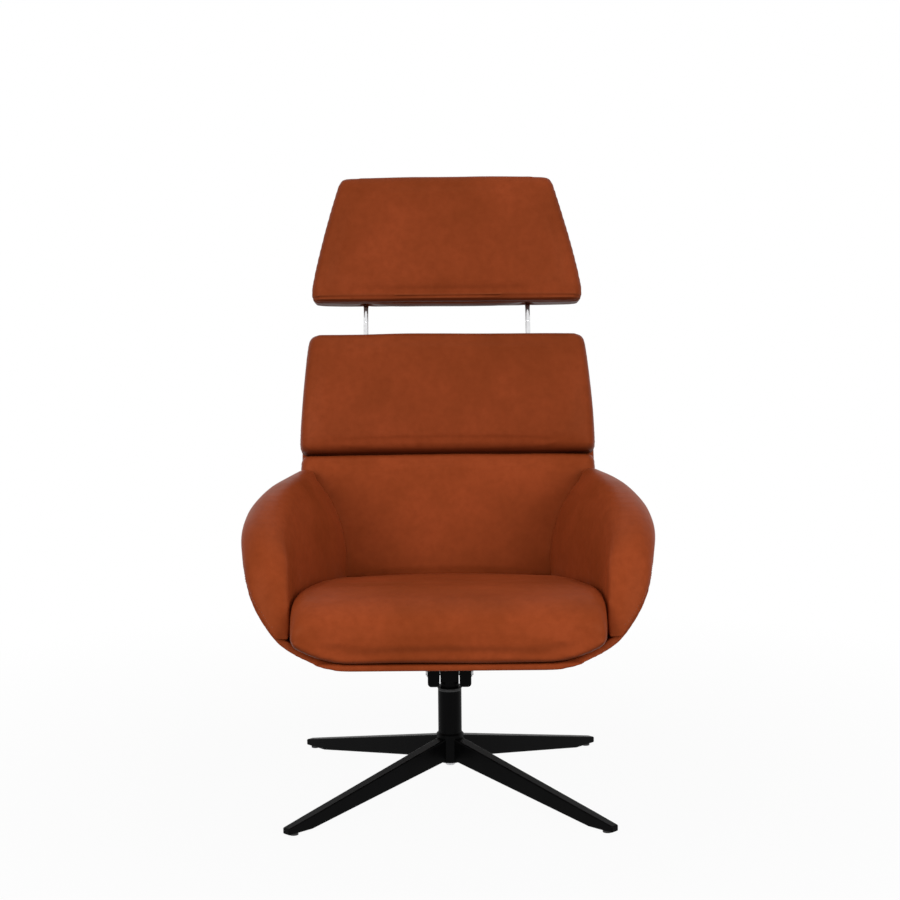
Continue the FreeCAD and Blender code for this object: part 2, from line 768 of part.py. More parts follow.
def rear_plane(up, clear=0.0):
    """Where the arms end, just in front of the back, in the seat's frame."""
    foot = seat_frame.inverse().multVec(back_frame.multVec(Vector(0, -clear, 0)))
    lean = math.radians(float(s.back_lean) - float(s.seat_slope))
    return foot.y + (up - foot.z) * math.tan(lean)


def rim_prism(grow=0.0):
    """Side profile of the upholstered tub, from its front lip over the arms' seam to its rear lip."""
    side = float(s.tub_rim_side) + grow
    front_rim = float(s.tub_rim_front) + grow
    rear_rim = float(s.tub_rim_rear) + grow
    front = float(s.tub_front) - 10
    nose = float(s.arm_nose)
    toe = float(s.arm_toe)
    clear = float(s.soft_gap) + 1.6 - grow
    rear = float(s.tub_rear) + 10
    low = -40.0
    middle_up = between(front_rim, side, 0.5)
    outline_points = (
        ((front, low), (front, front_rim)),
        ((front, front_rim), (toe - 24 - grow, front_rim)),
        ((toe - 24 - grow, front_rim), (toe - 12 - grow, front_rim + 16), (toe + 6 - grow, front_rim + 48)),
        ((toe + 6 - grow, front_rim + 48), (toe + 40 - grow, middle_up + 20), (nose - 6 - grow, side - 26)),
        ((nose - 6 - grow, side - 26), (nose + 14 - grow, side - 7), (nose + 48, side)),
        ((nose + 48, side), (rear_plane(side + 14, clear), side + 14)),
        ((rear_plane(side + 14, clear), side + 14), (rear_plane(rear_rim, clear), rear_rim)),
        ((rear_plane(rear_rim, clear), rear_rim), (rear, rear_rim)),
        ((rear, rear_rim), (rear, low)),
        ((rear, low), (front, low)),
    )
    half = float(s.tub_half_width) + 30
    wire = section(lambda y, z: Vector(-half, y, z), outline_points)
    return Part.Face(wire).extrude(Vector(2 * half, 0, 0))


def shell_room():
    """The space of the shell below its rim, with a clearance for the soft pieces in it."""
    gap = float(s.soft_gap)
    return rim_prism(gap).cut(tub_block(float(s.tub_thickness) + gap, float(s.tub_rim_side) + 70))


def seat_shell():
    """Thin tub that carries the arms and the seat: bottom, round corners and sides."""
    top = float(s.tub_rim_side) + 60
    thickness = float(s.tub_thickness)
    wall = tub_block(0.0, top).cut(tub_block(thickness, top + 5))
    shell = wall.common(rim_prism())
    for x, y in bolt_places():
        hole = float(s.plate_bolt_radius + s.running_fit)
        shell = shell.cut(Part.makeCylinder(hole, thickness * 2, Vector(float(x), float(y), -thickness / 2)))
    return keep(computed("seat_shell", shell), "seat_shell", seat_frame)


def tub_floor(y, x, inset):
    """Height of the tub's surface, moved in by an inset, at a distance from the middle."""
    corner = float(s.tub_corner)
    over = max(x - (tub_half_width(y) - float(s.tub_flare)), 0.0)
    return corner - math.sqrt((corner - inset) ** 2 - over ** 2)


def cushion_half_width(y):
    """Plan of the seat cushion: parallel in front, drawn in between the arms to the rear."""
    front = float(s.cushion_half_width)
    rear = float(s.cushion_rear_half_width)
    straight = -170.0
    if y <= straight:
        return front
    share = (y - straight) / (float(s.cushion_rear) - straight)
    return between(front, rear, share ** 1.5)


def seat_cushion():
    """Crowned cushion with a rolled front edge and drawn-in sides."""
    front = float(s.cushion_front)
    rear = float(s.cushion_rear)
    floor = float(s.tub_thickness + s.soft_gap)
    crown = float(s.cushion_crown)
    rear_crown = float(s.cushion_rear_crown)
    roll = float(s.cushion_roll)
    nose_up = between(floor, crown, 0.46)
    fractions = (0.0, 0.05, 0.15, 0.32, 0.58, 1.0, 1.5)
    places = [front + roll * share for share in fractions] + [-90.0, 10.0, 90.0, rear - 16, rear]
    sections = []
    for y in places:
        ahead = max(1.0 - (y - front + roll * 0.02) / roll, 0.0)
        arch = math.sqrt(1.0 - ahead ** 2)
        back_share = max((y - front - roll) / (rear - front - roll), 0.0)
        peak = between(crown, rear_crown, back_share ** 1.6)
        top = between(nose_up, peak, arch)
        lift = between(9.0, 0.0, min(arch * 2.5, 1.0))
        low = floor + lift
        if y == rear:
            top = top - 10
        half = cushion_half_width(y) - float(s.cushion_corner) * (1 - arch) - (6 if y == rear else 0)
        edge = min(24.0, (top - low) * 0.4)
        side_top = (half - 1.5, top - edge - 4)
        turn_in = tub_half_width(y) - float(s.tub_flare)
        side_low = (half - 4, tub_floor(y, half - 4, floor + 0.6) + lift)
        bed_at = (turn_in + half - 4) / 2
        bed = (bed_at, tub_floor(y, bed_at, floor + 0.6) + lift)
        flat_end = (turn_in, low + 0.6)
        side_mid = (half, between(side_low[1], top - edge, 0.55))
        shoulder = (half - edge * 0.35 - 1, top - edge * 0.38 - 3)
        brow = (half - edge, top - 4)

        def flip(point):
            return (-point[0], point[1])

        sections.append(section(lambda x, z, y=y: Vector(x, y, z), (
            (flip(flat_end), flat_end),
            (flat_end, bed, side_low),
            (side_low, side_mid, side_top),
            (side_top, shoulder, brow),
            (brow, (0.0, top), flip(brow)),
            (flip(brow), flip(shoulder), flip(side_top)),
            (flip(side_top), flip(side_mid), flip(side_low)),
            (flip(side_low), flip(bed), flip(flat_end)),
        )))
    cushion = lofted(sections)
    gap = float(s.soft_gap)
    room = Part.makeBox(
        2 * (float(s.panel_half_width) + gap),
        float(s.panel_rear - s.panel_front) + 2 * gap,
        float(s.panel_thickness) + 2 * gap,
        Vector(-float(s.panel_half_width) - gap, float(s.panel_front) - gap, float(s.tub_thickness) - gap),
    )
    return keep(computed("seat_cushion", cushion.cut(room)), "seat_cushion", seat_frame)


def arm_stations():
    """Sections of the arm: place, height of its crest, crest's distance, height of its outer seam."""
    rear_top = float(s.arm_rear_height)
    fall = float(s.arm_fall)
    nose = float(s.arm_nose)
    toe = float(s.arm_toe)
    crest = float(s.arm_crest)
    end = float(s.back_foot_depth)
    rim = float(s.tub_rim_side)
    return (
        (end + 130, rear_top + 3, crest - 6, rim + 24),
        (end + 20, rear_top + 2, crest - 2, rim + 22),
        (80.0, rear_top - 1, crest, rim + 20),
        (0.0, rear_top - fall * 0.12, crest, rim + 18),
        (-70.0, rear_top - fall * 0.36, crest, rim + 14),
        (-120.0, rear_top - fall * 0.66, crest - 1, rim + 6),
        (nose, rear_top - fall, crest - 3, rim - 10),
        (nose - 22, rear_top - fall - 16, crest - 6, rim - 28),
        (nose - 44, rear_top - fall - 40, crest - 10, rim - 46),
        (nose - 64, rear_top - fall - 72, crest - 14, rim - 68),
        (nose - 82, rear_top - fall - 112, crest - 18, rim - 96),
        (toe - 4, rear_top - fall - 158, crest - 20, rim - 122),
    )


def arm_block():
    """One whole arm, out to the tub's outer surface, on the sitter's left."""
    sections = []
    for y, top, crest, seam in arm_stations():
        inner = cushion_half_width(min(y, float(s.cushion_rear))) + 1.2
        low = 26.0
        tall = top - low
        knee = low + tall * (0.36 if tall > 120 else 0.3)
        bulge = 14.0 * min(tall / 260, 1.0)
        eave = (crest - min(34.0, (crest - inner) * 0.42 + 2), top - min(20.0, tall * 0.12))
        rise = ((inner + eave[0]) / 2 - bulge * min((eave[0] - inner) / 50, 1.0), (knee + eave[1]) / 2)
        cheek = (tub_side(y, seam), seam)
        shoulder = (
            between(crest, cheek[0], 0.74),
            between(top, cheek[1], 0.20),
        )
        ledge = (between(eave[0], shoulder[0], 0.5), top + 0.5)
        hip_up = low + (seam - low) * 0.45
        hip = (tub_side(y, hip_up), hip_up)
        side_mid_up = (hip_up + seam) / 2
        side_mid = (tub_side(y, side_mid_up) + 0.05, side_mid_up)
        heel = (tub_side(y, low), low)
        corner_up = (low + hip_up) / 2
        corner = (tub_side(y, corner_up), corner_up)
        flank_up = between(seam, shoulder[1], 0.55)
        flank = (between(cheek[0], shoulder[0], 0.20) + 1.5, flank_up)
        sections.append(section(lambda x, z, y=y: Vector(x, y, z), (
            ((inner, low), (inner, knee)),
            ((inner, knee), rise, eave),
            (eave, ledge, shoulder),
            (shoulder, flank, cheek),
            (cheek, side_mid, hip),
            (hip, corner, heel),
            (heel, (inner, low)),
        )))
    return lofted(sections)


def arm_pads():
    """Arm pads: inside the shell below its rim, flush with it above, cut off in front of the back."""
    gap = float(s.soft_gap)
    arm = arm_block().cut(shell_room())
    height = 420.0
    clear = gap + 1.6
    behind = Part.Face(section(lambda y, z: Vector(-500, y, z), (
        ((rear_plane(-20, clear), -20), (rear_plane(height, clear), height)),
        ((rear_plane(height, clear), height), (700, height)),
        ((700, height), (700, -20)),
        ((700, -20), (rear_plane(-20, clear), -20)),
    ))).extrude(Vector(1000, 0, 0))
    left = arm.cut(behind)
    keep(computed("arm_pad_left", left), "arm_pad_left", seat_frame)
    keep(computed("arm_pad_right", mirrored(left)), "arm_pad_right", seat_frame)


# Recline hinges

def recline_hinges():
    """Upright plates on the seat panel, pins, friction discs and the arms of the back."""
    foot = s.tub_thickness + s.panel_thickness
    plate_x = s.hinge_spread
    start = as_size(pivot_in_seat.y) - s.hinge_eye
    for side, name in ((1, "left"), (-1, "right")):
        low_x = plate_x if side > 0 else -plate_x - s.hinge_plate
        flange_x = plate_x if side > 0 else -plate_x - s.hinge_plate - s.hinge_flange
        upright = box(
            f"hinge_upright_{name}", low_x, start, foot,
            s.hinge_plate, s.hinge_eye * 2, as_size(pivot_in_seat.z) - foot,
        )
        eye = cylinder(
            f"hinge_eye_{name}", s.hinge_eye, s.hinge_plate,
            low_x, pivot_in_seat.y, pivot_in_seat.z, ALONG_X,
        )
        flange = box(
            f"hinge_flange_{name}", flange_x, start - 8, foot,
            s.hinge_plate + s.hinge_flange, s.panel_rear - start + 8, 4,
        )
        bore = cylinder(
            f"hinge_bore_{name}", s.pivot_radius, s.hinge_plate,
            low_x, pivot_in_seat.y, pivot_in_seat.z, ALONG_X,
        )
        solid = joined(f"hinge_solid_{name}", upright, eye, flange)
        keep(without(f"seat_hinge_{name}", solid, bore), f"seat_hinge_{name}", seat_frame)

        disc_x = plate_x - s.friction_disc if side > 0 else -plate_x
        disc = ring(
            f"friction_disc_{name}", s.hinge_eye - 1, s.pivot_radius + s.running_fit, s.friction_disc,
            disc_x, pivot_in_seat.y, pivot_in_seat.z, ALONG_X,
        )
        keep(disc, f"friction_disc_{name}", seat_frame)

        reach = s.hinge_plate * 2 + s.friction_disc + 6
        pin_x = plate_x - s.hinge_plate - s.friction_disc - 3 if side > 0 else -plate_x - s.hinge_plate - 3
        pin = cylinder(
            f"recline_pin_{name}", s.pivot_radius, reach,
            pin_x, pivot_in_seat.y, pivot_in_seat.z, ALONG_X,
        )
        keep(pin, f"recline_pin_{name}", seat_frame)

        arm_x = plate_x - s.friction_disc - s.hinge_plate if side > 0 else -plate_x + s.friction_disc
        arm_low = as_size(pivot_in_back.z)
        arm_top = 70
        board_front = s.pad_thickness
        bar = box(
            f"back_arm_bar_{name}", arm_x, as_size(pivot_in_back.y) - s.hinge_eye, arm_low,
            s.hinge_plate, board_front - pivot_in_back.y + s.hinge_eye, as_size(arm_top) - arm_low,
        )
        flange_x = arm_x - s.hinge_flange if side > 0 else arm_x
        flange = box(
            f"back_arm_flange_{name}", flange_x, board_front - 4, -s.back_drop + 16,
            s.hinge_plate + s.hinge_flange, 4, s.back_drop - 16 + arm_top,
        )
        eye = cylinder(
            f"back_arm_eye_{name}", s.hinge_eye, s.hinge_plate,
            arm_x, pivot_in_back.y, pivot_in_back.z, ALONG_X,
        )
        bore = cylinder(
            f"back_arm_bore_{name}", s.pivot_radius + s.running_fit, s.hinge_plate,
            arm_x, pivot_in_back.y, pivot_in_back.z, ALONG_X,
        )
        solid = joined(f"back_arm_solid_{name}", bar, flange, eye)
        keep(without(f"back_arm_{name}", solid, bore), f"back_arm_{name}", back_frame)


# Back

def back_half_width(up):
    """Outline of the back: a little narrower to the top, rounded below."""
    seam = float(s.back_seam)
    full = float(s.back_half_width)
    if up >= seam:
        share = (up - seam) / (float(s.back_top) - seam)
        return between(full, float(s.back_top_half_width), share ** 2)
    down = (seam - up) / (seam + float(s.back_drop))
    return full - 6 * down - 62 * down ** 5


def pad_section(up, half, front, rear, crown, corner):
    """A section across the back: flat at the rear, crowned in front, with round corners."""
    side = (half, front + crown + corner)
    brow = (half - corner, front + crown)
    cheek = (half - corner * 0.29, front + crown + corner * 0.29)
    root = (half - 5, rear)
    swell = (half + 1.5, between(front + crown + corner, rear, 0.4))

    def flip(point):
        return (-point[0], point[1])

    return section(lambda x, y: Vector(x, y, up), (
        (flip(root), root),
        (root, swell, side),
        (side, cheek, brow),
        (brow, (0.0, front), flip(brow)),
        (flip(brow), flip(cheek), flip(side)),
        (flip(side), flip(swell), flip(root)),
    ))


def channels():
    """Room in the pads for the rods, their sleeves and the arms of the hinges."""
    gap = float(s.soft_gap)
    depth = float(s.rod_depth)
    top = float(s.back_top)
    rear = float(s.pad_thickness)
    wide = float(s.sleeve_radius) + gap
    low = top - float(s.rod_insert) - float(s.headrest_drop) - 6
    rooms = []
    for side in (1, -1):
        x = float(s.rod_spread) * side
        rooms.append(Part.makeBox(
            2 * wide, rear - depth + wide + gap, top - 6 - low, Vector(x - wide, depth - wide, low)))
        rooms.append(Part.makeCylinder(float(s.rod_radius) + gap, 40, Vector(x, depth, top - 20)))
        start = float(s.hinge_spread - s.friction_disc - s.hinge_plate)
        width = float(s.hinge_plate * 2 + s.friction_disc + s.hinge_flange) + 10
        low_x = start - float(s.hinge_flange) - 5
        if side < 0:
            low_x = -low_x - width
        eye = float(s.hinge_eye) + 4
        rooms.append(Part.makeBox(
            width, 2 * eye, 70 + gap - pivot_in_back.z + eye,
            Vector(low_x, pivot_in_back.y - eye, pivot_in_back.z - eye)))
    return rooms[0].multiFuse(rooms[1:])


def back_pads():
    """Two stuffed pads in front of the board, drawn in at the seam between them."""
    rear = float(s.pad_thickness - s.soft_gap)
    seam = float(s.back_seam)
    top = float(s.back_top)
    drop = float(s.back_drop)
    room = channels()
    swell = float(s.pad_swell)
    radius = float(s.pad_end_radius)
    spans = (
        ("back_lower_pad", -drop, seam - 0.4, 2.0, swell * 0.4),
        ("back_upper_pad", seam + 0.4, top, -4.0, swell),
    )
    for name, low, high, level, belly in spans:
        sections = []
        for up in end_stations(low, high, radius, 3):
            draw = end_draw(min(up - low, high - up), radius)
            share = (up - low) / (high - low)
            front = level - belly * math.sin(math.pi * share) ** 0.7 + draw
            half = back_half_width(up) - draw * 0.6
            corner = between(22.0, 13.0, draw / radius)
            sections.append(pad_section(up, half, front, rear, 7.0, corner))
        keep(computed(name, lofted(sections).cut(room)), name, back_frame)


def back_board():
    """Plywood board between the pads and the rear shell."""
    board = computed("board_outline", board_shape(0.0))
    return keep(board, "back_board", back_frame)


def board_shape(grow):
    low = -float(s.back_drop) + 16
    high = float(s.back_top) - 22
    corner = 62.0
    half = float(s.back_top_half_width) - float(s.board_inset) + grow
    front = float(s.pad_thickness) - grow
    points = [
        (-half + corner, low - grow), (half - corner, low - grow), (half, low + corner),
        (half, high + grow), (-half, high + grow), (-half, low + corner),
    ]
    wire = Part.makePolygon([Vector(x, front, z) for x, z in points + points[:1]])
    return Part.Face(wire).extrude(Vector(0, float(s.board_thickness) + 2 * grow, 0))


def back_shell():
    """Upholstered rear of the back, gently crowned, with a recess for the board."""
    gap = float(s.soft_gap)
    front = float(s.pad_thickness)
    rear = float(s.back_depth)
    seam = float(s.back_seam)
    top = float(s.back_top)
    drop = float(s.back_drop)
    radius = float(s.shell_end_radius)

    def flip(point):
        return (-point[0], point[1])

    sections = []
    for up in end_stations(-drop, top, radius, 5):
        draw = end_draw(min(up + drop, top - up), radius)
        half = back_half_width(up) - draw * 0.4
        taper = max(up - seam, 0.0) / (top - seam)
        back = rear - 8 * taper - draw * 0.8
        corner = between(18.0, 9.0, draw / radius)
        crown = 6.0
        root = (half - 5, front)
        side = (half, back - crown - corner)
        swell = (half + 0.6, between(front, side[1], 0.6))
        cheek = (half - corner * 0.29, back - crown - corner * 0.29)
        brow = (half - corner, back - crown)
        sections.append(section(lambda x, y, up=up: Vector(x, y, up), (
            (root, flip(root)),
            (flip(root), flip(swell), flip(side)),
            (flip(side), flip(cheek), flip(brow)),
            (flip(brow), (0.0, back), brow),
            (brow, cheek, side),
            (side, swell, root),
        )))
    reach = float(s.hinge_spread + s.hinge_plate) + 3
    eye_room = Part.makeCylinder(
        float(s.hinge_eye) + 5, 2 * reach,
        Vector(-reach, pivot_in_back.y, pivot_in_back.z), Vector(1, 0, 0))
    shell = lofted(sections).cut(board_shape(gap)).cut(eye_room)
    return keep(computed("back_shell", shell), "back_shell", back_frame)


def rod_sleeves():
    """Guide sleeves of the headrest rods, screwed to the front of the board."""
    low = s.back_top - 14 - s.sleeve_length
    for side, name in ((1, "left"), (-1, "right")):
        x = s.rod_spread * side
        tube = cylinder(f"sleeve_tube_{name}", s.sleeve_radius, s.sleeve_length, x, s.rod_depth, low)
        saddle = box(
            f"sleeve_saddle_{name}", x - s.sleeve_radius, s.rod_depth, low + 10,
            s.sleeve_radius * 2, s.pad_thickness - s.rod_depth, s.sleeve_length - 20,
        )
        bore = cylinder(
            f"sleeve_bore_{name}", s.rod_radius + s.running_fit, s.sleeve_length, x, s.rod_depth, low,
        )
        solid = joined(f"sleeve_solid_{name}", tube, saddle)
        keep(without(f"rod_sleeve_{name}", solid, bore), f"rod_sleeve_{name}", back_frame)


# Headrest

def headrest_carrier():
    """Two plated rods with eyes at their tops, and the axle through the eyes."""
    low = s.back_top - s.rod_insert
    high = s.back_top + s.headrest_gap
    groove_at = s.back_top + s.headrest_gap / 3
    for side, name in ((1, "left"), (-1, "right")):
        x = s.rod_spread * side
        rod = cylinder(f"rod_{name}", s.rod_radius, high - low, x, s.rod_depth, low)
        eye = cylinder(
            f"rod_eye_{name}", s.headrest_eye, s.eye_width,
            x - s.eye_width / 2, s.rod_depth, high, ALONG_X,
        )
        groove = ring(
            f"rod_groove_{name}", s.rod_radius + 1, s.rod_radius - s.rod_groove, 2,
            x, s.rod_depth, groove_at,
        )
        bore = cylinder(
            f"rod_bore_{name}", s.headrest_axle_radius, s.eye_width,
            x - s.eye_width / 2, s.rod_depth, high, ALONG_X,
        )
        solid = joined(f"rod_solid_{name}", rod, eye)
        keep(without(f"headrest_rod_{name}", solid, groove, bore), f"headrest_rod_{name}", back_frame)
    end = s.rod_spread + s.eye_width / 2
    axle = cylinder(
        "headrest_axle", s.headrest_axle_radius, end * 2, -end, s.rod_depth, high, ALONG_X,
    )
    return keep(axle, "headrest_axle", back_frame)


def headrest_board():
    """Plywood board in the headrest, and the two barrels that turn on the axle."""
    low = s.headrest_eye + 5
    high = s.headrest_above - 40
    half = s.headrest_top_half_width - 32
    board = box(
        "headrest_panel", -half, -s.headrest_board / 2, low,
        half * 2, s.headrest_board, high - low,
    )
    keep(board, "headrest_board", headrest_frame)
    barrel_at = s.rod_spread - s.eye_width / 2 - s.end_play - s.barrel_width
    for side, name in ((1, "left"), (-1, "right")):
        start = barrel_at if side > 0 else -barrel_at - s.barrel_width
        barrel = cylinder(f"barrel_{name}", s.headrest_eye, s.barrel_width, start, 0, 0, ALONG_X)
        leaf = box(
            f"barrel_leaf_{name}", start, s.headrest_board / 2, 0,
            s.barrel_width, s.headrest_eye - s.headrest_board / 2, s.headrest_eye * 5,
        )
        bore = cylinder(
            f"barrel_bore_{name}", s.headrest_axle_radius + s.running_fit, s.barrel_width,
            start, 0, 0, ALONG_X,
        )
        solid = joined(f"barrel_solid_{name}", barrel, leaf)
        keep(without(f"headrest_hinge_{name}", solid, bore), f"headrest_hinge_{name}", headrest_frame)


def headrest_half_width(up):
    """Sides of the headrest: a trapezoid with slightly round sides."""
    low = float(s.headrest_half_width)
    high = float(s.headrest_top_half_width)
    share = max(up, 0.0) / (float(s.headrest_above) - 20)
    return between(low, high, share ** 1.25)


def headrest_cushion():
    """Stuffed headrest with room for its board, axle and rods."""
    front = float(s.headrest_front)
    rear = float(s.headrest_rear)
    below = float(s.headrest_below)
    above = float(s.headrest_above)
    radius = float(s.headrest_end_radius)
    corner_radius = float(s.headrest_corner)

    def flip(point):
        return (-point[0], point[1])

    sections = []
    for up in end_stations(-below, above, radius, 5):
        below_top = above - up
        draw = end_draw(up + below, radius) + end_draw(below_top, radius)
        half = headrest_half_width(up) - end_draw(up + below, radius) * 0.7
        half = half - end_draw(below_top, corner_radius)
        ahead = -front + draw
        behind = rear - draw * 0.8
        bow = 5.0
        corner = between(20.0, 8.0, min(draw / radius, 1.0))
        side = (half + 0.8, (ahead + behind) / 2)
        face_end = (half, ahead + bow + corner)
        face_turn = (half - corner * 0.29, ahead + bow + corner * 0.29)
        face = (half - corner, ahead + bow)
        rear_end = (half, behind - bow - corner)
        rear_turn = (half - corner * 0.29, behind - bow - corner * 0.29)
        rear_face = (half - corner, behind - bow)
        sections.append(section(lambda x, y, up=up: Vector(x, y, up), (
            (flip(face), (0.0, ahead), face),
            (face, face_turn, face_end),
            (face_end, side, rear_end),
            (rear_end, rear_turn, rear_face),
            (rear_face, (0.0, behind), flip(rear_face)),
            (flip(rear_face), flip(rear_turn), flip(rear_end)),
            (flip(rear_end), flip(side), flip(face_end)),
            (flip(face_end), flip(face_turn), flip(face)),
        )))
    cushion = lofted(sections)
    gap = float(s.soft_gap)
    eye = float(s.headrest_eye) + 1.5
    half_axle = float(s.rod_spread + s.eye_width / 2) + 2
    axle_room = Part.makeCylinder(eye, 2 * half_axle, Vector(-half_axle, 0, 0), Vector(1, 0, 0))
    rooms = []
    thick = float(s.headrest_board)
    board_half = float(s.headrest_top_half_width) - 32 + gap
    low = float(s.headrest_eye) + 5 - gap
    rooms.append(Part.makeBox(
        2 * board_half, thick + 2 * gap, float(s.headrest_above) - 40 + gap - low,
        Vector(-board_half, -thick / 2 - gap, low)))
    for side in (1, -1):
        x = float(s.rod_spread) * side
        rooms.append(Part.makeBox(17, 23.5, below + 12, Vector(x - 8.5, -17, -below - 12)))
        barrel = float(s.rod_spread - s.eye_width / 2 - s.barrel_width) - 2
        start = barrel if side > 0 else -barrel - float(s.barrel_width) - 3
        rooms.append(Part.makeBox(
            float(s.barrel_width) + 3, float(s.headrest_eye) + gap, float(s.headrest_eye) * 5 + gap,
            Vector(start, 0, 0)))
    cushion = cushion.cut(axle_room.multiFuse(rooms))
    return keep(computed("headrest_cushion", cushion), "headrest_cushion", headrest_frame)


def build():
    star_base()
    leg_glides()
    column_tube()
    column_bolt()
    swivel_bearings()
    swivel_spindle()
    swivel_head()
    tilt_bumpers()
    tilt_axle()
    tilt_bracket()
    bracket_bolts()
    torsion_rubbers()
    seat_panel()
    seat_shell()
    seat_cushion()
    arm_pads()
    recline_hinges()
    back_board()
    back_pads()
    back_shell()
    rod_sleeves()
    headrest_carrier()
    headrest_board()
    headrest_cushion()


def check():
    """Stop if anything in the document failed."""
    document.recompute()
    for item in document.Objects:
        if "Invalid" in item.State or "Error" in item.State:
            raise RuntimeError(f"{item.Name} failed: {item.State}")
    for item in nodes:
        shape = item.Shape
        if shape.isNull() or not shape.isValid() or not shape.Solids:
            raise RuntimeError(f"{item.Label} has no valid solid")


def export():
    os.makedirs("parts", exist_ok=True)
    for item in nodes:
        item.Shape.exportStep(f"parts/{item.Label}.step")


build()
check()
export()
print("nodes", len(nodes))
print("recline pivot", [round(value, 3) for value in recline_pivot])
print("headrest pivot", [round(value, 3) for value in headrest_pivot])
print("rod direction", [round(value, 6) for value in back_frame.Rotation.multVec(Vector(0, 0, 1))])
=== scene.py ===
import json
import math

import bpy
import numpy as np
from mathutils import Matrix, Vector, noise


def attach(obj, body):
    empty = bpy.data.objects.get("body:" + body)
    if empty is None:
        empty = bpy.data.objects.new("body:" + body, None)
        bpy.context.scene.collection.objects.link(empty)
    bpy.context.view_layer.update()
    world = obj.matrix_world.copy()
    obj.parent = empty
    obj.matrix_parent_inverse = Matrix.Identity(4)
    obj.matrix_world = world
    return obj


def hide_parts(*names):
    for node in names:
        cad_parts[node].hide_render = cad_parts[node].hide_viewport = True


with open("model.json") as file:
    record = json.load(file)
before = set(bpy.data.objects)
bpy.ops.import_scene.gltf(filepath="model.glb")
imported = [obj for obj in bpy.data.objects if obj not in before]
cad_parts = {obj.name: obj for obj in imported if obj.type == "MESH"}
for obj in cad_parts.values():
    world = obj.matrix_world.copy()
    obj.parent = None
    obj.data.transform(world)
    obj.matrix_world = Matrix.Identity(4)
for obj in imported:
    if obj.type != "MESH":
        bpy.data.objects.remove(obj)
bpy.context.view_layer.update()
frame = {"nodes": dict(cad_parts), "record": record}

# Star base swivel recliner. Metres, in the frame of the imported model: the sitter looks along -Y,
# +Z is up, and left and right are the sitter's own, so left is +X.

# Frames of the three upholstered bodies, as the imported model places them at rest.
SEAT_PLACE = Matrix.Translation((0, 0, 0.2718)) @ Matrix.Rotation(math.radians(-2.25), 4, "X")
BACK_PLACE = Matrix.Translation((0, 0.180, 0.375)) @ Matrix.Rotation(math.radians(-18.2), 4, "X")
HEADREST_PLACE = (
    Matrix.Translation((0, 0.391097, 0.87298)) @ Matrix.Rotation(math.radians(-11.6), 4, "X")
)

# Camera: level height of the eye, degrees of downward pitch, and the slight roll of the photograph.
CAMERA_PLACE = (0.0080, -3.358, 1.034)
CAMERA_PITCH = 7.12
CAMERA_ROLL = 0.5
LENS_LENGTH = 76.3
SENSOR_WIDTH = 36

# Stage
FLOOR_SIZE = 14
FLOOR_GREY = (0.42, 0.42, 0.42, 1)
FLOOR_ROUGHNESS = 0.9
FLOOR_LIT_SHARE = 0.05
FLOOR_FADE = (0.5, 1.6)
SURROUND_STRENGTH = 0.34
WHITE = (1, 1, 1, 1)

# Lamps: name, place, point that it faces, side of the square, watts.
LAMPS = (
    ("lamp_left", (-2.2, -2.9, 1.5), (0, 0, 0.5), 1.6, 65),
    ("lamp_right", (2.2, -2.9, 1.5), (0, 0, 0.5), 1.6, 61),
    ("lamp_top", (0, -0.5, 3.0), (0, 0, 0.6), 2.2, 15),
)

# Colours of the leather: its dye, the dark of its seams and of painted shade, and the paler colour of
# the seams' lips, partly a painted highlight
HIDE_DEEP = (0.212, 0.0388, 0.0094)
HIDE_PALE = (0.300, 0.0550, 0.0158)
HIDE_FLECK = (0.160, 0.0245, 0.0045)
HIDE_SEAM_AND_SHADE = (0.030, 0.0065, 0.0025)
HIDE_LIP_PALE_AND_HIGHLIGHT = (0.46, 0.125, 0.045)
HIDE_SHEEN = (1.0, 0.58, 0.36, 1)

# Covers: edge of the even mesh over each cushion.
HEADREST_GRID = 0.0058
BACK_PAD_GRID = 0.0062
REAR_COVER_GRID = 0.0052
SHELL_GRID = 0.0042
CUSHION_GRID = 0.0064
ARM_GRID = 0.0056
WELD = 0.00002

# Stuffing
STUFFING_FRAMES = 11
COVER_SLACK = 0.003
FOAM_GIVE = 0.001
CLOTH_SETTINGS = {
    "quality": 3,
    "mass": 0.35,
    "tension_stiffness": 18,
    "compression_stiffness": 18,
    "shear_stiffness": 8,
    "bending_stiffness": 4,
    "use_pressure": True,
}

# Heights, reaches and bulges of the tub's shoulders and lower flanks.
SHOULDER_HEIGHT = 0.512
SHOULDER_REACH = 0.052
SHOULDER_BULGE = 0.0098
FLANK_HEIGHT = 0.303
FLANK_REACH = 0.030
FLANK_BULGE = 0.0130

# Seat cushion
CROWN_START = 0.33
CROWN_RISE = 0.08
CROWN_DROP = 0.009
SIDE_PUSH = 0.0045

# Channel between the two back pads, in the frame of the back.
CHANNEL_HEIGHT = 0.209
CHANNEL_LIFT = 0.008
CHANNEL_REACH = 0.06

# Seams: distance from the frame's middle plane, in the frame of the back or of the headrest.
BACK_SEAM = 0.036
HEADREST_FRONT_SEAM = -0.034
HEADREST_REAR_SEAM = 0.017
HEADREST_LOWER_SEAM = -0.0105
HEADREST_FRONT_LIMIT = -0.02
SEAM_WIDTH = 0.0026

# Topstitching of the arms: side view of the tub's rim in the seat's frame, and the stitches along it.
RIM_PROFILE = (
    (-0.2760, 0.020), (-0.2680, 0.030), (-0.2500, 0.062), (-0.2340, 0.092), (-0.2160, 0.118),
    (-0.1920, 0.141), (-0.1660, 0.156), (-0.1460, 0.175), (-0.1120, 0.182), (0.1300, 0.1935),
)
STITCH_PITCH = 0.0052
STITCH_INSET = 0.0085
STITCH_SIZE = Matrix.Diagonal((0.0017, 0.0005, 0.0005, 1))
STITCH_LIFT = 0.0002
OUTSIDE = 0.5


# Shader nodes

def add_node(tree, kind, **inputs):
    """A shader node with its unlinked inputs set by name."""
    made = tree.nodes.new(kind)
    for name, value in inputs.items():
        made.inputs[name.replace("_", " ")].default_value = value
    return made


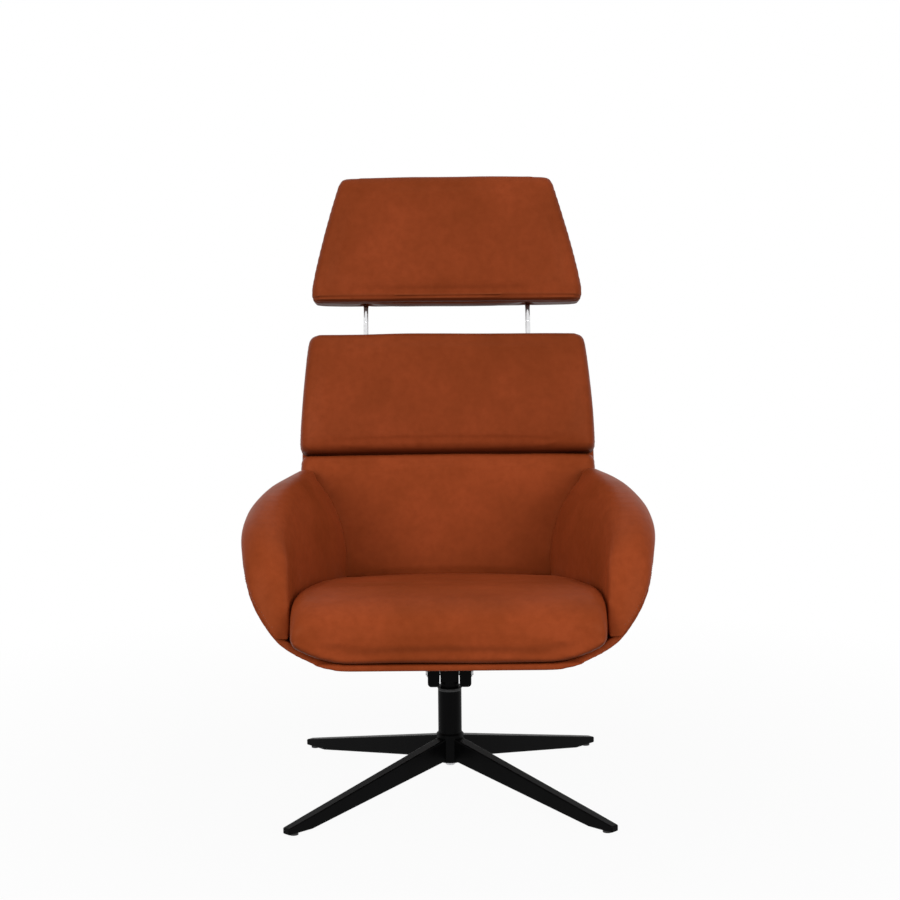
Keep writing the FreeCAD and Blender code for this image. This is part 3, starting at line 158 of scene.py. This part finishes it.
def texture(tree, kind, scale, **inputs):
    """A texture on the piece's own place."""
    place = tree.nodes.get("Place") or tree.nodes.new("ShaderNodeTexCoord")
    place.name = "Place"
    made = add_node(tree, kind, Scale=scale, **inputs)
    tree.links.new(place.outputs["Object"], made.inputs["Vector"])
    return made


def blend_colours(tree, share, low, high, start=0.3, end=0.7):
    """Colours from low to high as a value goes from start to end."""
    ramp = tree.nodes.new("ShaderNodeValToRGB")
    ramp.color_ramp.elements[0].position = start
    ramp.color_ramp.elements[0].color = (*low, 1)
    ramp.color_ramp.elements[1].position = end
    ramp.color_ramp.elements[1].color = (*high, 1)
    tree.links.new(share, ramp.inputs[0])
    return ramp.outputs["Color"]


def mix_colours(tree, share, under, over):
    """Lay one plain colour over another by a share."""
    mix = tree.nodes.new("ShaderNodeMix")
    mix.data_type = "RGBA"
    tree.links.new(share, mix.inputs[0])
    tree.links.new(under, mix.inputs[6])
    mix.inputs[7].default_value = (*over, 1)
    return mix.outputs[2]


def mark_share(tree, name):
    """The share that a mark on the cover's points gives."""
    mark = tree.nodes.new("ShaderNodeAttribute")
    mark.attribute_name = name
    return mark.outputs["Fac"]


def spread(tree, value, low, high):
    """Map a 0 to 1 value to a range."""
    made = add_node(tree, "ShaderNodeMapRange", To_Min=low, To_Max=high)
    tree.links.new(value, made.inputs["Value"])
    return made.outputs["Result"]


def bump(tree, height, strength, distance, under=None):
    """Surface relief, laid over the relief below it."""
    made = add_node(tree, "ShaderNodeBump", Strength=strength, Distance=distance)
    tree.links.new(height, made.inputs["Height"])
    if under:
        tree.links.new(under.outputs["Normal"], made.inputs["Normal"])
    return made


def greater(tree, first, second):
    """The greater of two values."""
    made = tree.nodes.new("ShaderNodeMath")
    made.operation = "MAXIMUM"
    tree.links.new(first, made.inputs[0])
    tree.links.new(second, made.inputs[1])
    return made.outputs[0]


# Camera, lamps and stage

def set_camera():
    """The photograph's view: from the front, a little above the headrest's lower edge."""
    data = bpy.data.cameras.new("photo_camera")
    data.lens = LENS_LENGTH
    data.sensor_width = SENSOR_WIDTH
    camera = bpy.data.objects.new("photo_camera", data)
    camera.location = CAMERA_PLACE
    camera.rotation_euler = (math.radians(90 - CAMERA_PITCH), math.radians(CAMERA_ROLL), 0)
    bpy.context.scene.collection.objects.link(camera)
    bpy.context.scene.camera = camera


def soft_box(name, place, aim, size, watts):
    """A large square lamp that faces a point."""
    data = bpy.data.lights.new(name, "AREA")
    data.shape = "SQUARE"
    data.size = size
    data.energy = watts
    lamp = bpy.data.objects.new(name, data)
    lamp.location = place
    lamp.rotation_euler = (Vector(aim) - Vector(place)).to_track_quat("-Z", "Y").to_euler()
    bpy.context.scene.collection.objects.link(lamp)


def white_to_camera(tree, surface, lit_share, fade=None):
    """Mix a surface with plain white where the camera, a gloss or a glass ray sees it.

    The lit share goes to nothing between the two distances of fade from the middle.
    """
    path = tree.nodes.new("ShaderNodeLightPath")
    seen = greater(tree, path.outputs["Is Camera Ray"], path.outputs["Is Glossy Ray"])
    seen = greater(tree, seen, path.outputs["Is Transmission Ray"])
    share = tree.nodes.new("ShaderNodeMath")
    share.operation = "MULTIPLY"
    share.inputs[1].default_value = 1 - lit_share
    tree.links.new(seen, share.inputs[0])
    if fade:
        place = tree.nodes.new("ShaderNodeTexCoord")
        far = tree.nodes.new("ShaderNodeVectorMath")
        far.operation = "LENGTH"
        tree.links.new(place.outputs["Object"], far.inputs[0])
        near, end = fade
        white = add_node(tree, "ShaderNodeMapRange", From_Min=near, From_Max=end, To_Min=1 - lit_share)
        tree.links.new(far.outputs["Value"], white.inputs["Value"])
        tree.links.new(white.outputs["Result"], share.inputs[1])
    kind = "ShaderNodeBackground" if surface.type == "BACKGROUND" else "ShaderNodeEmission"
    glow = add_node(tree, kind, Color=WHITE, Strength=1)
    mix = tree.nodes.new("ShaderNodeMixShader")
    tree.links.new(share.outputs[0], mix.inputs[0])
    tree.links.new(surface.outputs[0], mix.inputs[1])
    tree.links.new(glow.outputs[0], mix.inputs[2])
    return mix


def lay_floor():
    """A pale floor that keeps the shadow and fades to white away from the chair."""
    bpy.ops.object.select_all(action="DESELECT")
    bpy.ops.mesh.primitive_plane_add(size=FLOOR_SIZE, location=(0, 0, 0))
    floor = bpy.context.active_object
    floor.name = "studio_floor"
    material = bpy.data.materials.new("studio_floor")
    material.use_nodes = True
    tree = material.node_tree
    shader = tree.nodes["Principled BSDF"]
    shader.inputs["Base Color"].default_value = FLOOR_GREY
    shader.inputs["Roughness"].default_value = FLOOR_ROUGHNESS
    mix = white_to_camera(tree, shader, FLOOR_LIT_SHARE, FLOOR_FADE)
    tree.links.new(mix.outputs[0], tree.nodes["Material Output"].inputs["Surface"])
    floor.data.materials.append(material)


def set_surround():
    """A white surround that lights the chair from all sides."""
    world = bpy.data.worlds.new("studio_surround")
    bpy.context.scene.world = world
    world.use_nodes = True
    tree = world.node_tree
    base = tree.nodes["Background"]
    base.inputs["Color"].default_value = WHITE
    base.inputs["Strength"].default_value = SURROUND_STRENGTH
    mix = white_to_camera(tree, base, 0)
    tree.links.new(mix.outputs[0], tree.nodes["World Output"].inputs["Surface"])


# Finishes

def finish(name, roughness, metallic=0.0, specular=0.5):
    """An empty finish with its shader."""
    material = bpy.data.materials.new(name)
    material.use_nodes = True
    shader = material.node_tree.nodes["Principled BSDF"]
    shader.inputs["Roughness"].default_value = roughness
    shader.inputs["Metallic"].default_value = metallic
    shader.inputs["Specular IOR Level"].default_value = specular
    return material, material.node_tree, shader


def hide_leather():
    """Cognac pull-up leather: mottled and finely pebbled, dark in its seams and with painted shade where
    its mark says, paler on the seams' lips, partly as pull-up paling and partly as a painted highlight.
    """
    material, tree, shader = finish("cognac_leather", 0.5, specular=0.075)
    shader.inputs["Specular Tint"].default_value = HIDE_SHEEN
    clouds = texture(tree, "ShaderNodeTexNoise", 7.0, Detail=4.0, Roughness=0.55)
    colour = blend_colours(tree, clouds.outputs["Fac"], HIDE_DEEP, HIDE_PALE)
    flecks = texture(tree, "ShaderNodeTexNoise", 75.0, Detail=3.0, Roughness=0.6)
    colour = mix_colours(tree, spread(tree, flecks.outputs["Fac"], -0.25, 0.5), colour, HIDE_FLECK)
    # Painted shade: the colour goes dark where the covers' mark says, in the seams' grooves and on the
    # faces painted as shaded.
    colour = mix_colours(tree, mark_share(tree, "seam_and_painted_shade"), colour, HIDE_SEAM_AND_SHADE)
    # Partly a painted highlight: paler where the covers' mark says, on the seams' lips, beside pull-up
    # leather's paling where it stretches.
    colour = mix_colours(tree, mark_share(tree, "lip_paling_and_highlight"), colour, HIDE_LIP_PALE_AND_HIGHLIGHT)
    tree.links.new(colour, shader.inputs["Base Color"])
    rough = texture(tree, "ShaderNodeTexNoise", 22.0, Detail=3.0)
    tree.links.new(spread(tree, rough.outputs["Fac"], 0.38, 0.56), shader.inputs["Roughness"])
    pebbles = texture(tree, "ShaderNodeTexVoronoi", 620.0)
    pebbles.feature = "SMOOTH_F1"
    pores = texture(tree, "ShaderNodeTexNoise", 1500.0, Detail=2.0)
    creases = texture(tree, "ShaderNodeTexNoise", 45.0, Detail=5.0, Roughness=0.6)
    relief = bump(tree, creases.outputs["Fac"], 0.22, 0.0016)
    relief = bump(tree, pebbles.outputs["Distance"], 0.20, 0.0004, relief)
    relief = bump(tree, pores.outputs["Fac"], 0.12, 0.0002, relief)
    tree.links.new(relief.outputs["Normal"], shader.inputs["Normal"])
    return material


def sewing_thread():
    """Thread of the topstitching, a little lighter than the leather, with its twist."""
    material, tree, shader = finish("stitch_thread", 0.6, specular=0.3)
    twist = texture(tree, "ShaderNodeTexWave", 900.0, Distortion=1.5)
    low, high = (0.16, 0.034, 0.011), (0.33, 0.085, 0.031)
    colour = blend_colours(tree, twist.outputs["Fac"], low, high, 0.2, 0.8)
    tree.links.new(colour, shader.inputs["Base Color"])
    return material


def powder_coat():
    """Black satin powder coat with a fine orange peel and faint scuffs."""
    material, tree, shader = finish("black_powder_coat", 0.36, specular=0.04)
    cloud = texture(tree, "ShaderNodeTexNoise", 30.0, Detail=4.0)
    low, high = (0.0010, 0.0010, 0.0011), (0.0018, 0.0018, 0.0019)
    tree.links.new(blend_colours(tree, cloud.outputs["Fac"], low, high), shader.inputs["Base Color"])
    scuffs = texture(tree, "ShaderNodeTexNoise", 60.0, Detail=6.0, Roughness=0.7)
    tree.links.new(spread(tree, scuffs.outputs["Fac"], 0.26, 0.48), shader.inputs["Roughness"])
    peel = texture(tree, "ShaderNodeTexNoise", 1100.0, Detail=2.0)
    relief = bump(tree, peel.outputs["Fac"], 0.12, 0.0002)
    tree.links.new(relief.outputs["Normal"], shader.inputs["Normal"])
    return material


def plated(name, low, high, rough_low, rough_high):
    """Bright plated metal with a faint brushing."""
    material, tree, shader = finish(name, 0.15, metallic=1.0)
    cloud = texture(tree, "ShaderNodeTexNoise", 240.0, Detail=3.0)
    tree.links.new(blend_colours(tree, cloud.outputs["Fac"], low, high), shader.inputs["Base Color"])
    tree.links.new(spread(tree, cloud.outputs["Fac"], rough_low, rough_high), shader.inputs["Roughness"])
    lines = texture(tree, "ShaderNodeTexWave", 500.0, Distortion=3.0, Detail=2.0)
    relief = bump(tree, lines.outputs["Fac"], 0.05, 0.0001)
    tree.links.new(relief.outputs["Normal"], shader.inputs["Normal"])
    return material


def moulded(name, low, high, rough_low, rough_high):
    """Moulded nylon or rubber with a fine texture."""
    material, tree, shader = finish(name, 0.5, specular=0.4)
    cloud = texture(tree, "ShaderNodeTexNoise", 160.0, Detail=3.0)
    tree.links.new(blend_colours(tree, cloud.outputs["Fac"], low, high), shader.inputs["Base Color"])
    tree.links.new(spread(tree, cloud.outputs["Fac"], rough_low, rough_high), shader.inputs["Roughness"])
    sparks = texture(tree, "ShaderNodeTexVoronoi", 900.0)
    relief = bump(tree, sparks.outputs["Distance"], 0.15, 0.0002)
    tree.links.new(relief.outputs["Normal"], shader.inputs["Normal"])
    return material


def birch_plywood():
    """Birch plywood: fine long grain and a slight sheen."""
    material, tree, shader = finish("birch_plywood", 0.55, specular=0.3)
    grain = texture(tree, "ShaderNodeTexWave", 14.0, Distortion=5.0, Detail=3.0)
    low, high = (0.50, 0.34, 0.19), (0.66, 0.49, 0.30)
    colour = blend_colours(tree, grain.outputs["Fac"], low, high, 0.1, 0.9)
    fibre = texture(tree, "ShaderNodeTexNoise", 260.0, Detail=3.0)
    fibre_share = spread(tree, fibre.outputs["Fac"], -0.2, 0.35)
    colour = mix_colours(tree, fibre_share, colour, (0.36, 0.23, 0.12))
    tree.links.new(colour, shader.inputs["Base Color"])
    relief = bump(tree, fibre.outputs["Fac"], 0.1, 0.0003)
    tree.links.new(relief.outputs["Normal"], shader.inputs["Normal"])
    return material


# Meshes

def pick(piece):
    """Make one object the only selected one."""
    bpy.ops.object.select_all(action="DESELECT")
    piece.select_set(True)
    bpy.context.view_layer.objects.active = piece


def apply_modifier(piece, kind, **settings):
    """Add a modifier, set it and apply it."""
    pick(piece)
    made = piece.modifiers.new(kind.lower(), kind)
    for name, value in settings.items():
        setattr(made, name, value)
    bpy.ops.object.modifier_apply(modifier=made.name)


def drop_islands(piece):
    """Keep only the largest connected skin."""
    pick(piece)
    bpy.ops.object.mode_set(mode="EDIT")
    bpy.ops.mesh.separate(type="LOOSE")
    bpy.ops.object.mode_set(mode="OBJECT")
    parts = sorted(bpy.context.selected_objects, key=lambda part: len(part.data.vertices))
    largest = parts[-1]
    for part in parts[:-1]:
        bpy.data.objects.remove(part)
    return largest


def skin_of(node, name, grid, smooth=2):
    """A closed, even skin over a copy of a CAD solid."""
    source = frame["nodes"][node]
    piece = bpy.data.objects.new(name, source.data.copy())
    bpy.context.scene.collection.objects.link(piece)
    piece.data.materials.clear()
    pick(piece)
    bpy.ops.object.mode_set(mode="EDIT")
    bpy.ops.mesh.select_all(action="SELECT")
    bpy.ops.mesh.remove_doubles(threshold=WELD)
    bpy.ops.object.mode_set(mode="OBJECT")
    apply_modifier(piece, "REMESH", mode="VOXEL", voxel_size=grid, adaptivity=0.0)
    piece = drop_islands(piece)
    piece.name = name
    apply_modifier(piece, "SMOOTH", factor=0.5, iterations=smooth)
    return piece


def points_of(piece):
    """The piece's points, and the direction that its skin faces at each."""
    mesh = piece.data
    places = np.empty(len(mesh.vertices) * 3, np.float32)
    mesh.vertices.foreach_get("co", places)
    facing = np.empty(len(mesh.vertices) * 3, np.float32)
    mesh.vertex_normals.foreach_get("vector", facing)
    return places.reshape(-1, 3).astype(float), facing.reshape(-1, 3).astype(float)


def set_points(piece, places):
    """Move the piece's points to new places."""
    piece.data.vertices.foreach_set("co", np.asarray(places, np.float32).ravel())
    piece.data.update()


def local_points(piece, place):
    """The piece's points as seen in a frame of its own."""
    places, _ = points_of(piece)
    turn = np.array(place.inverted())
    return places @ turn[:3, :3].T + turn[:3, 3]


def bell(value):
    """A soft hump that is 1 at 0."""
    return np.exp(-value ** 2)


def outer_share(across, start, reach):
    """How far out to either side a point lies: 0 at start, then up to 1 or down to -1."""
    return np.clip((np.abs(across) - start) / reach, 0, 1) * np.sign(across)


# Upholstery

def stuff(piece, pressure, cap):
    """Fill the cover like a cushion: a short cloth run under pressure, each point's way capped.

    The foam below is firm, so nowhere does the leather sink more than a millimetre into it.
    """
    foam, facing = points_of(piece)
    start = foam - facing * COVER_SLACK
    set_points(piece, start)
    pick(piece)
    cloth = piece.modifiers.new("stuffing", "CLOTH")
    for name, value in CLOTH_SETTINGS.items():
        setattr(cloth.settings, name, value)
    cloth.settings.uniform_pressure_force = pressure
    cloth.settings.effector_weights.gravity = 0
    cloth.point_cache.frame_start = 1
    cloth.point_cache.frame_end = STUFFING_FRAMES
    for step in range(1, STUFFING_FRAMES + 1):
        bpy.context.scene.frame_set(step)
    bpy.ops.object.modifier_apply(modifier=cloth.name)
    bpy.context.scene.frame_set(1)
    filled, _ = points_of(piece)
    way = filled - start
    length = np.linalg.norm(way, axis=1)
    share = np.minimum(1.0, cap / np.maximum(length, 1e-9))
    filled = start + way * share[:, None]
    sunk = np.minimum(((filled - foam) * facing).sum(axis=1) + FOAM_GIVE, 0.0)
    set_points(piece, filled - facing * sunk[:, None])


def fine_smooth(piece, smooth=2):
    """One more subdivision, with the kinks of the cap taken out."""
    apply_modifier(piece, "SMOOTH", factor=0.5, iterations=smooth)
    apply_modifier(piece, "SUBSURF", levels=1, render_levels=1)
    pick(piece)
    bpy.ops.object.shade_smooth()


def add_marks(piece):
    """The two attributes that the leather's colour reads."""
    for name in ("seam_and_painted_shade", "lip_paling_and_highlight"):
        if name not in piece.data.attributes:
            piece.data.attributes.new(name, "FLOAT", "POINT")


def raise_mark(piece, name, wanted):
    """Bring a mark up to the wanted share, and leave it where it is stronger."""
    marks = piece.data.attributes[name].data
    values = np.empty(len(marks), np.float32)
    marks.foreach_get("value", values)
    marks.foreach_set("value", np.maximum(values, wanted).astype(np.float32))


def press_seam(piece, away, width, depth, dark=0.9, lip=0.0006):
    """Draw a sewn seam into the cover, where a distance in metres goes to zero."""
    add_marks(piece)
    places, facing = points_of(piece)
    away = away / width
    sink = bell(away * 1.6)
    ridge = bell((away - 1.35) * 2.2)
    set_points(piece, places - facing * (depth * sink - lip * ridge)[:, None])
    # The groove goes dark: the seam's own dark line, and painted shade of the groove.
    raise_mark(piece, "seam_and_painted_shade", dark * bell(away * 2.6))
    # The lips go paler: partly pull-up leather's paling where it stretches, partly a painted highlight.
    raise_mark(piece, "lip_paling_and_highlight", 0.22 * ridge)


def ripple(piece, seed, size, height):
    """Slow, uneven hand of the stuffing below the leather."""
    offset = Vector((seed * 3.7, seed * 1.9, seed * 5.3))
    places, facing = points_of(piece)
    swell = np.array([noise.noise(Vector(place) / size + offset) for place in places])
    set_points(piece, places + facing * (height * swell)[:, None])


def shade(piece, share, below=0.52):
    """Painted shade: the leather darkened by a share all over, and more where the cover faces the floor,
    where shade falls.
    """
    add_marks(piece)
    _, facing = points_of(piece)
    # Painted shade: a share all over, and a darkening of the faces that look down.
    raise_mark(piece, "seam_and_painted_shade", share + below * np.clip(-facing[:, 2] * 1.6, 0, 1))


def fill_flanks(piece):
    """Fuller shoulders and lower flanks of the tub, where the foam pushes the leather out."""
    places, _ = points_of(piece)
    shoulder = SHOULDER_BULGE * bell((places[:, 2] - SHOULDER_HEIGHT) / SHOULDER_REACH)
    flank = FLANK_BULGE * bell((places[:, 2] - FLANK_HEIGHT) / FLANK_REACH)
    places[:, 0] += outer_share(places[:, 0], 0.24, 0.07) * (shoulder + flank)
    set_points(piece, places)


def close_gap(cushion):
    """Push the sides of the seat cushion against the arms, and sit its crown down a little."""
    places, _ = points_of(cushion)
    places[:, 2] -= CROWN_DROP * np.clip((places[:, 2] - CROWN_START) / CROWN_RISE, 0, 1)
    places[:, 0] += SIDE_PUSH * outer_share(places[:, 0], 0.16, 0.10)
    set_points(cushion, places)


def raise_channel(piece):
    """Lift the meeting edges of the two back pads to the height of the channel in the photo."""
    local = local_points(piece, BACK_PLACE)
    places, _ = points_of(piece)
    up = np.array(BACK_PLACE.to_3x3() @ Vector((0, 0, 1)))
    share = bell((local[:, 2] - CHANNEL_HEIGHT) / CHANNEL_REACH)
    set_points(piece, places + up * (CHANNEL_LIFT * share)[:, None])


def dress(piece, material, body, nodes=()):
    """Give a piece its finish, its body and what it stands for."""
    piece.data.materials.append(material)
    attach(piece, body)
    if nodes:
        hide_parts(*nodes)


def make_headrest(leather):
    """Headrest: one smooth stuffed panel, with a boxing strip round its edge."""
    piece = skin_of("headrest_cushion", "headrest_cover", HEADREST_GRID)
    stuff(piece, 3.0, 0.006)
    fine_smooth(piece)
    ripple(piece, 1, 0.11, 0.0012)
    local = local_points(piece, HEADREST_PLACE)
    in_front = local[:, 1] < HEADREST_FRONT_LIMIT
    lower_edge = np.where(in_front, np.abs(local[:, 2] - HEADREST_LOWER_SEAM), 1.0)
    press_seam(piece, lower_edge, 0.0022, 0.0010, 0.6)
    depth = local_points(piece, HEADREST_PLACE)[:, 1]
    press_seam(piece, np.abs(depth - HEADREST_FRONT_SEAM), SEAM_WIDTH, 0.0016)
    press_seam(piece, np.abs(depth - HEADREST_REAR_SEAM), SEAM_WIDTH, 0.0014)
    # Painted shade on the headrest: a share all over, and its undersides darkened.
    shade(piece, 0.17)
    dress(piece, leather, "headrest", ["headrest_cushion"])


def make_back(leather):
    """Two back pads and the rear shell."""
    # The last number of each pad is its share of painted shade all over.
    for seed, node, painted_shade_share in ((2, "back_lower_pad", 0.02), (3, "back_upper_pad", 0.18)):
        piece = skin_of(node, node.replace("_pad", "_cushion"), BACK_PAD_GRID)
        stuff(piece, 3.0, 0.005)
        fine_smooth(piece)
        raise_channel(piece)
        ripple(piece, seed, 0.13, 0.0015)
        depth = local_points(piece, BACK_PLACE)[:, 1]
        press_seam(piece, np.abs(depth - BACK_SEAM), SEAM_WIDTH, 0.0014)
        shade(piece, painted_shade_share)
        dress(piece, leather, "back", [node])

    piece = skin_of("back_shell", "back_rear_cover", REAR_COVER_GRID, 3)
    fine_smooth(piece, 3)
    ripple(piece, 4, 0.2, 0.0012)
    dress(piece, leather, "back", ["back_shell"])


def rim_points(spacing):
    """Places along the rim of the tub in side view, evenly spaced, and the way across the rim."""
    line = [Vector(point) for point in RIM_PROFILE]
    places = []
    left = 0.0
    for start, end in zip(line, line[1:]):
        run = end - start
        across = Vector((-run.y, run.x)).normalized()
        along = left
        while along < run.length:
            places.append((start + run * (along / run.length), across))
            along += spacing
        left = along - run.length
    return places


def arm_spots(arm, sign):
    """Places of the needle on the arm, just inside the seam where it meets the tub."""
    outward = SEAT_PLACE.to_3x3() @ Vector((sign, 0, 0))
    spots = []
    for place, across in rim_points(STITCH_PITCH):
        y, z = place + across * STITCH_INSET
        start = SEAT_PLACE @ Vector((sign * OUTSIDE, y, z))
        hit, spot, normal, _ = arm.ray_cast(start, -outward)
        if hit:
            spots.append((spot, normal))
    return spots


def arm_stitches(arm, side, sign):
    """Topstitching of one arm: a thread stitch from each place of the needle to the next."""
    bpy.ops.object.select_all(action="DESELECT")
    bpy.ops.mesh.primitive_uv_sphere_add(segments=8, ring_count=6, radius=1, location=(0, 0, 0))
    stitch = bpy.context.active_object
    spots = arm_spots(arm, sign)
    row = []
    for (last, _), (spot, normal) in zip(spots, spots[1:]):
        run = spot - last
        ahead = (run - normal * run.dot(normal)).normalized()
        turn = Matrix((ahead, normal.cross(ahead), normal)).transposed().to_4x4()
        middle = Matrix.Translation((spot + last) / 2 + normal * STITCH_LIFT)
        copy = bpy.data.objects.new(f"stitch_{len(row)}", stitch.data.copy())
        bpy.context.scene.collection.objects.link(copy)
        copy.data.transform(middle @ turn @ STITCH_SIZE)
        row.append(copy)
    bpy.data.objects.remove(stitch)
    pick(row[0])
    for copy in row[1:]:
        copy.select_set(True)
    bpy.ops.object.join()
    joined = bpy.context.active_object
    joined.name = f"arm_stitches_{side}"
    bpy.ops.object.shade_smooth()
    return joined


def make_seat(leather, thread):
    """Seat shell, seat cushion and the two arms."""
    shell = skin_of("seat_shell", "seat_shell_cover", SHELL_GRID, 7)
    pick(shell)
    bpy.ops.object.shade_smooth()
    add_marks(shell)
    fill_flanks(shell)
    dress(shell, leather, "seat", ["seat_shell"])

    cushion = skin_of("seat_cushion", "seat_cushion_cover", CUSHION_GRID)
    stuff(cushion, 3.5, 0.006)
    fine_smooth(cushion)
    ripple(cushion, 5, 0.16, 0.0022)
    fill_flanks(cushion)
    close_gap(cushion)
    # Painted shade on the faces of the cushion that look down.
    shade(cushion, 0.0)
    dress(cushion, leather, "seat", ["seat_cushion"])

    for seed, side, sign in ((6, "left", 1), (7, "right", -1)):
        arm = skin_of(f"arm_pad_{side}", f"arm_cover_{side}", ARM_GRID, 3)
        stuff(arm, 3.0, 0.004)
        fine_smooth(arm, 3)
        ripple(arm, seed, 0.12, 0.0018)
        fill_flanks(arm)
        add_marks(arm)
        dress(arm, leather, "seat", [f"arm_pad_{side}"])
        dress(arm_stitches(arm, side, sign), thread, "seat")


def paint_frame(finishes):
    """Every CAD node that stays gets its finish by its slot."""
    slots = {row["node"]: row["material_slot"] for row in frame["record"]["subparts"]}
    for node, item in frame["nodes"].items():
        wanted = finishes[slots[node]]
        if not item.data.materials:
            item.data.materials.append(wanted)
        for slot in item.material_slots:
            slot.material = wanted


set_camera()
lay_floor()
set_surround()
for lamp in LAMPS:
    soft_box(*lamp)
bpy.context.scene.view_settings.view_transform = "Standard"

leather = hide_leather()
paint_frame({
    "black_metal": powder_coat(),
    "steel": plated("zinc_plated_steel", (0.42, 0.42, 0.43), (0.60, 0.60, 0.61), 0.20, 0.34),
    "chrome": plated("chrome_plate", (0.70, 0.70, 0.71), (0.82, 0.82, 0.83), 0.05, 0.12),
    "nylon": moulded("black_nylon", (0.012, 0.012, 0.012), (0.022, 0.022, 0.022), 0.40, 0.55),
    "rubber": moulded("black_rubber", (0.016, 0.016, 0.016), (0.026, 0.026, 0.026), 0.60, 0.78),
    "leather": leather,
    "plywood": birch_plywood(),
})
make_seat(leather, sewing_thread())
make_back(leather)
make_headrest(leather)
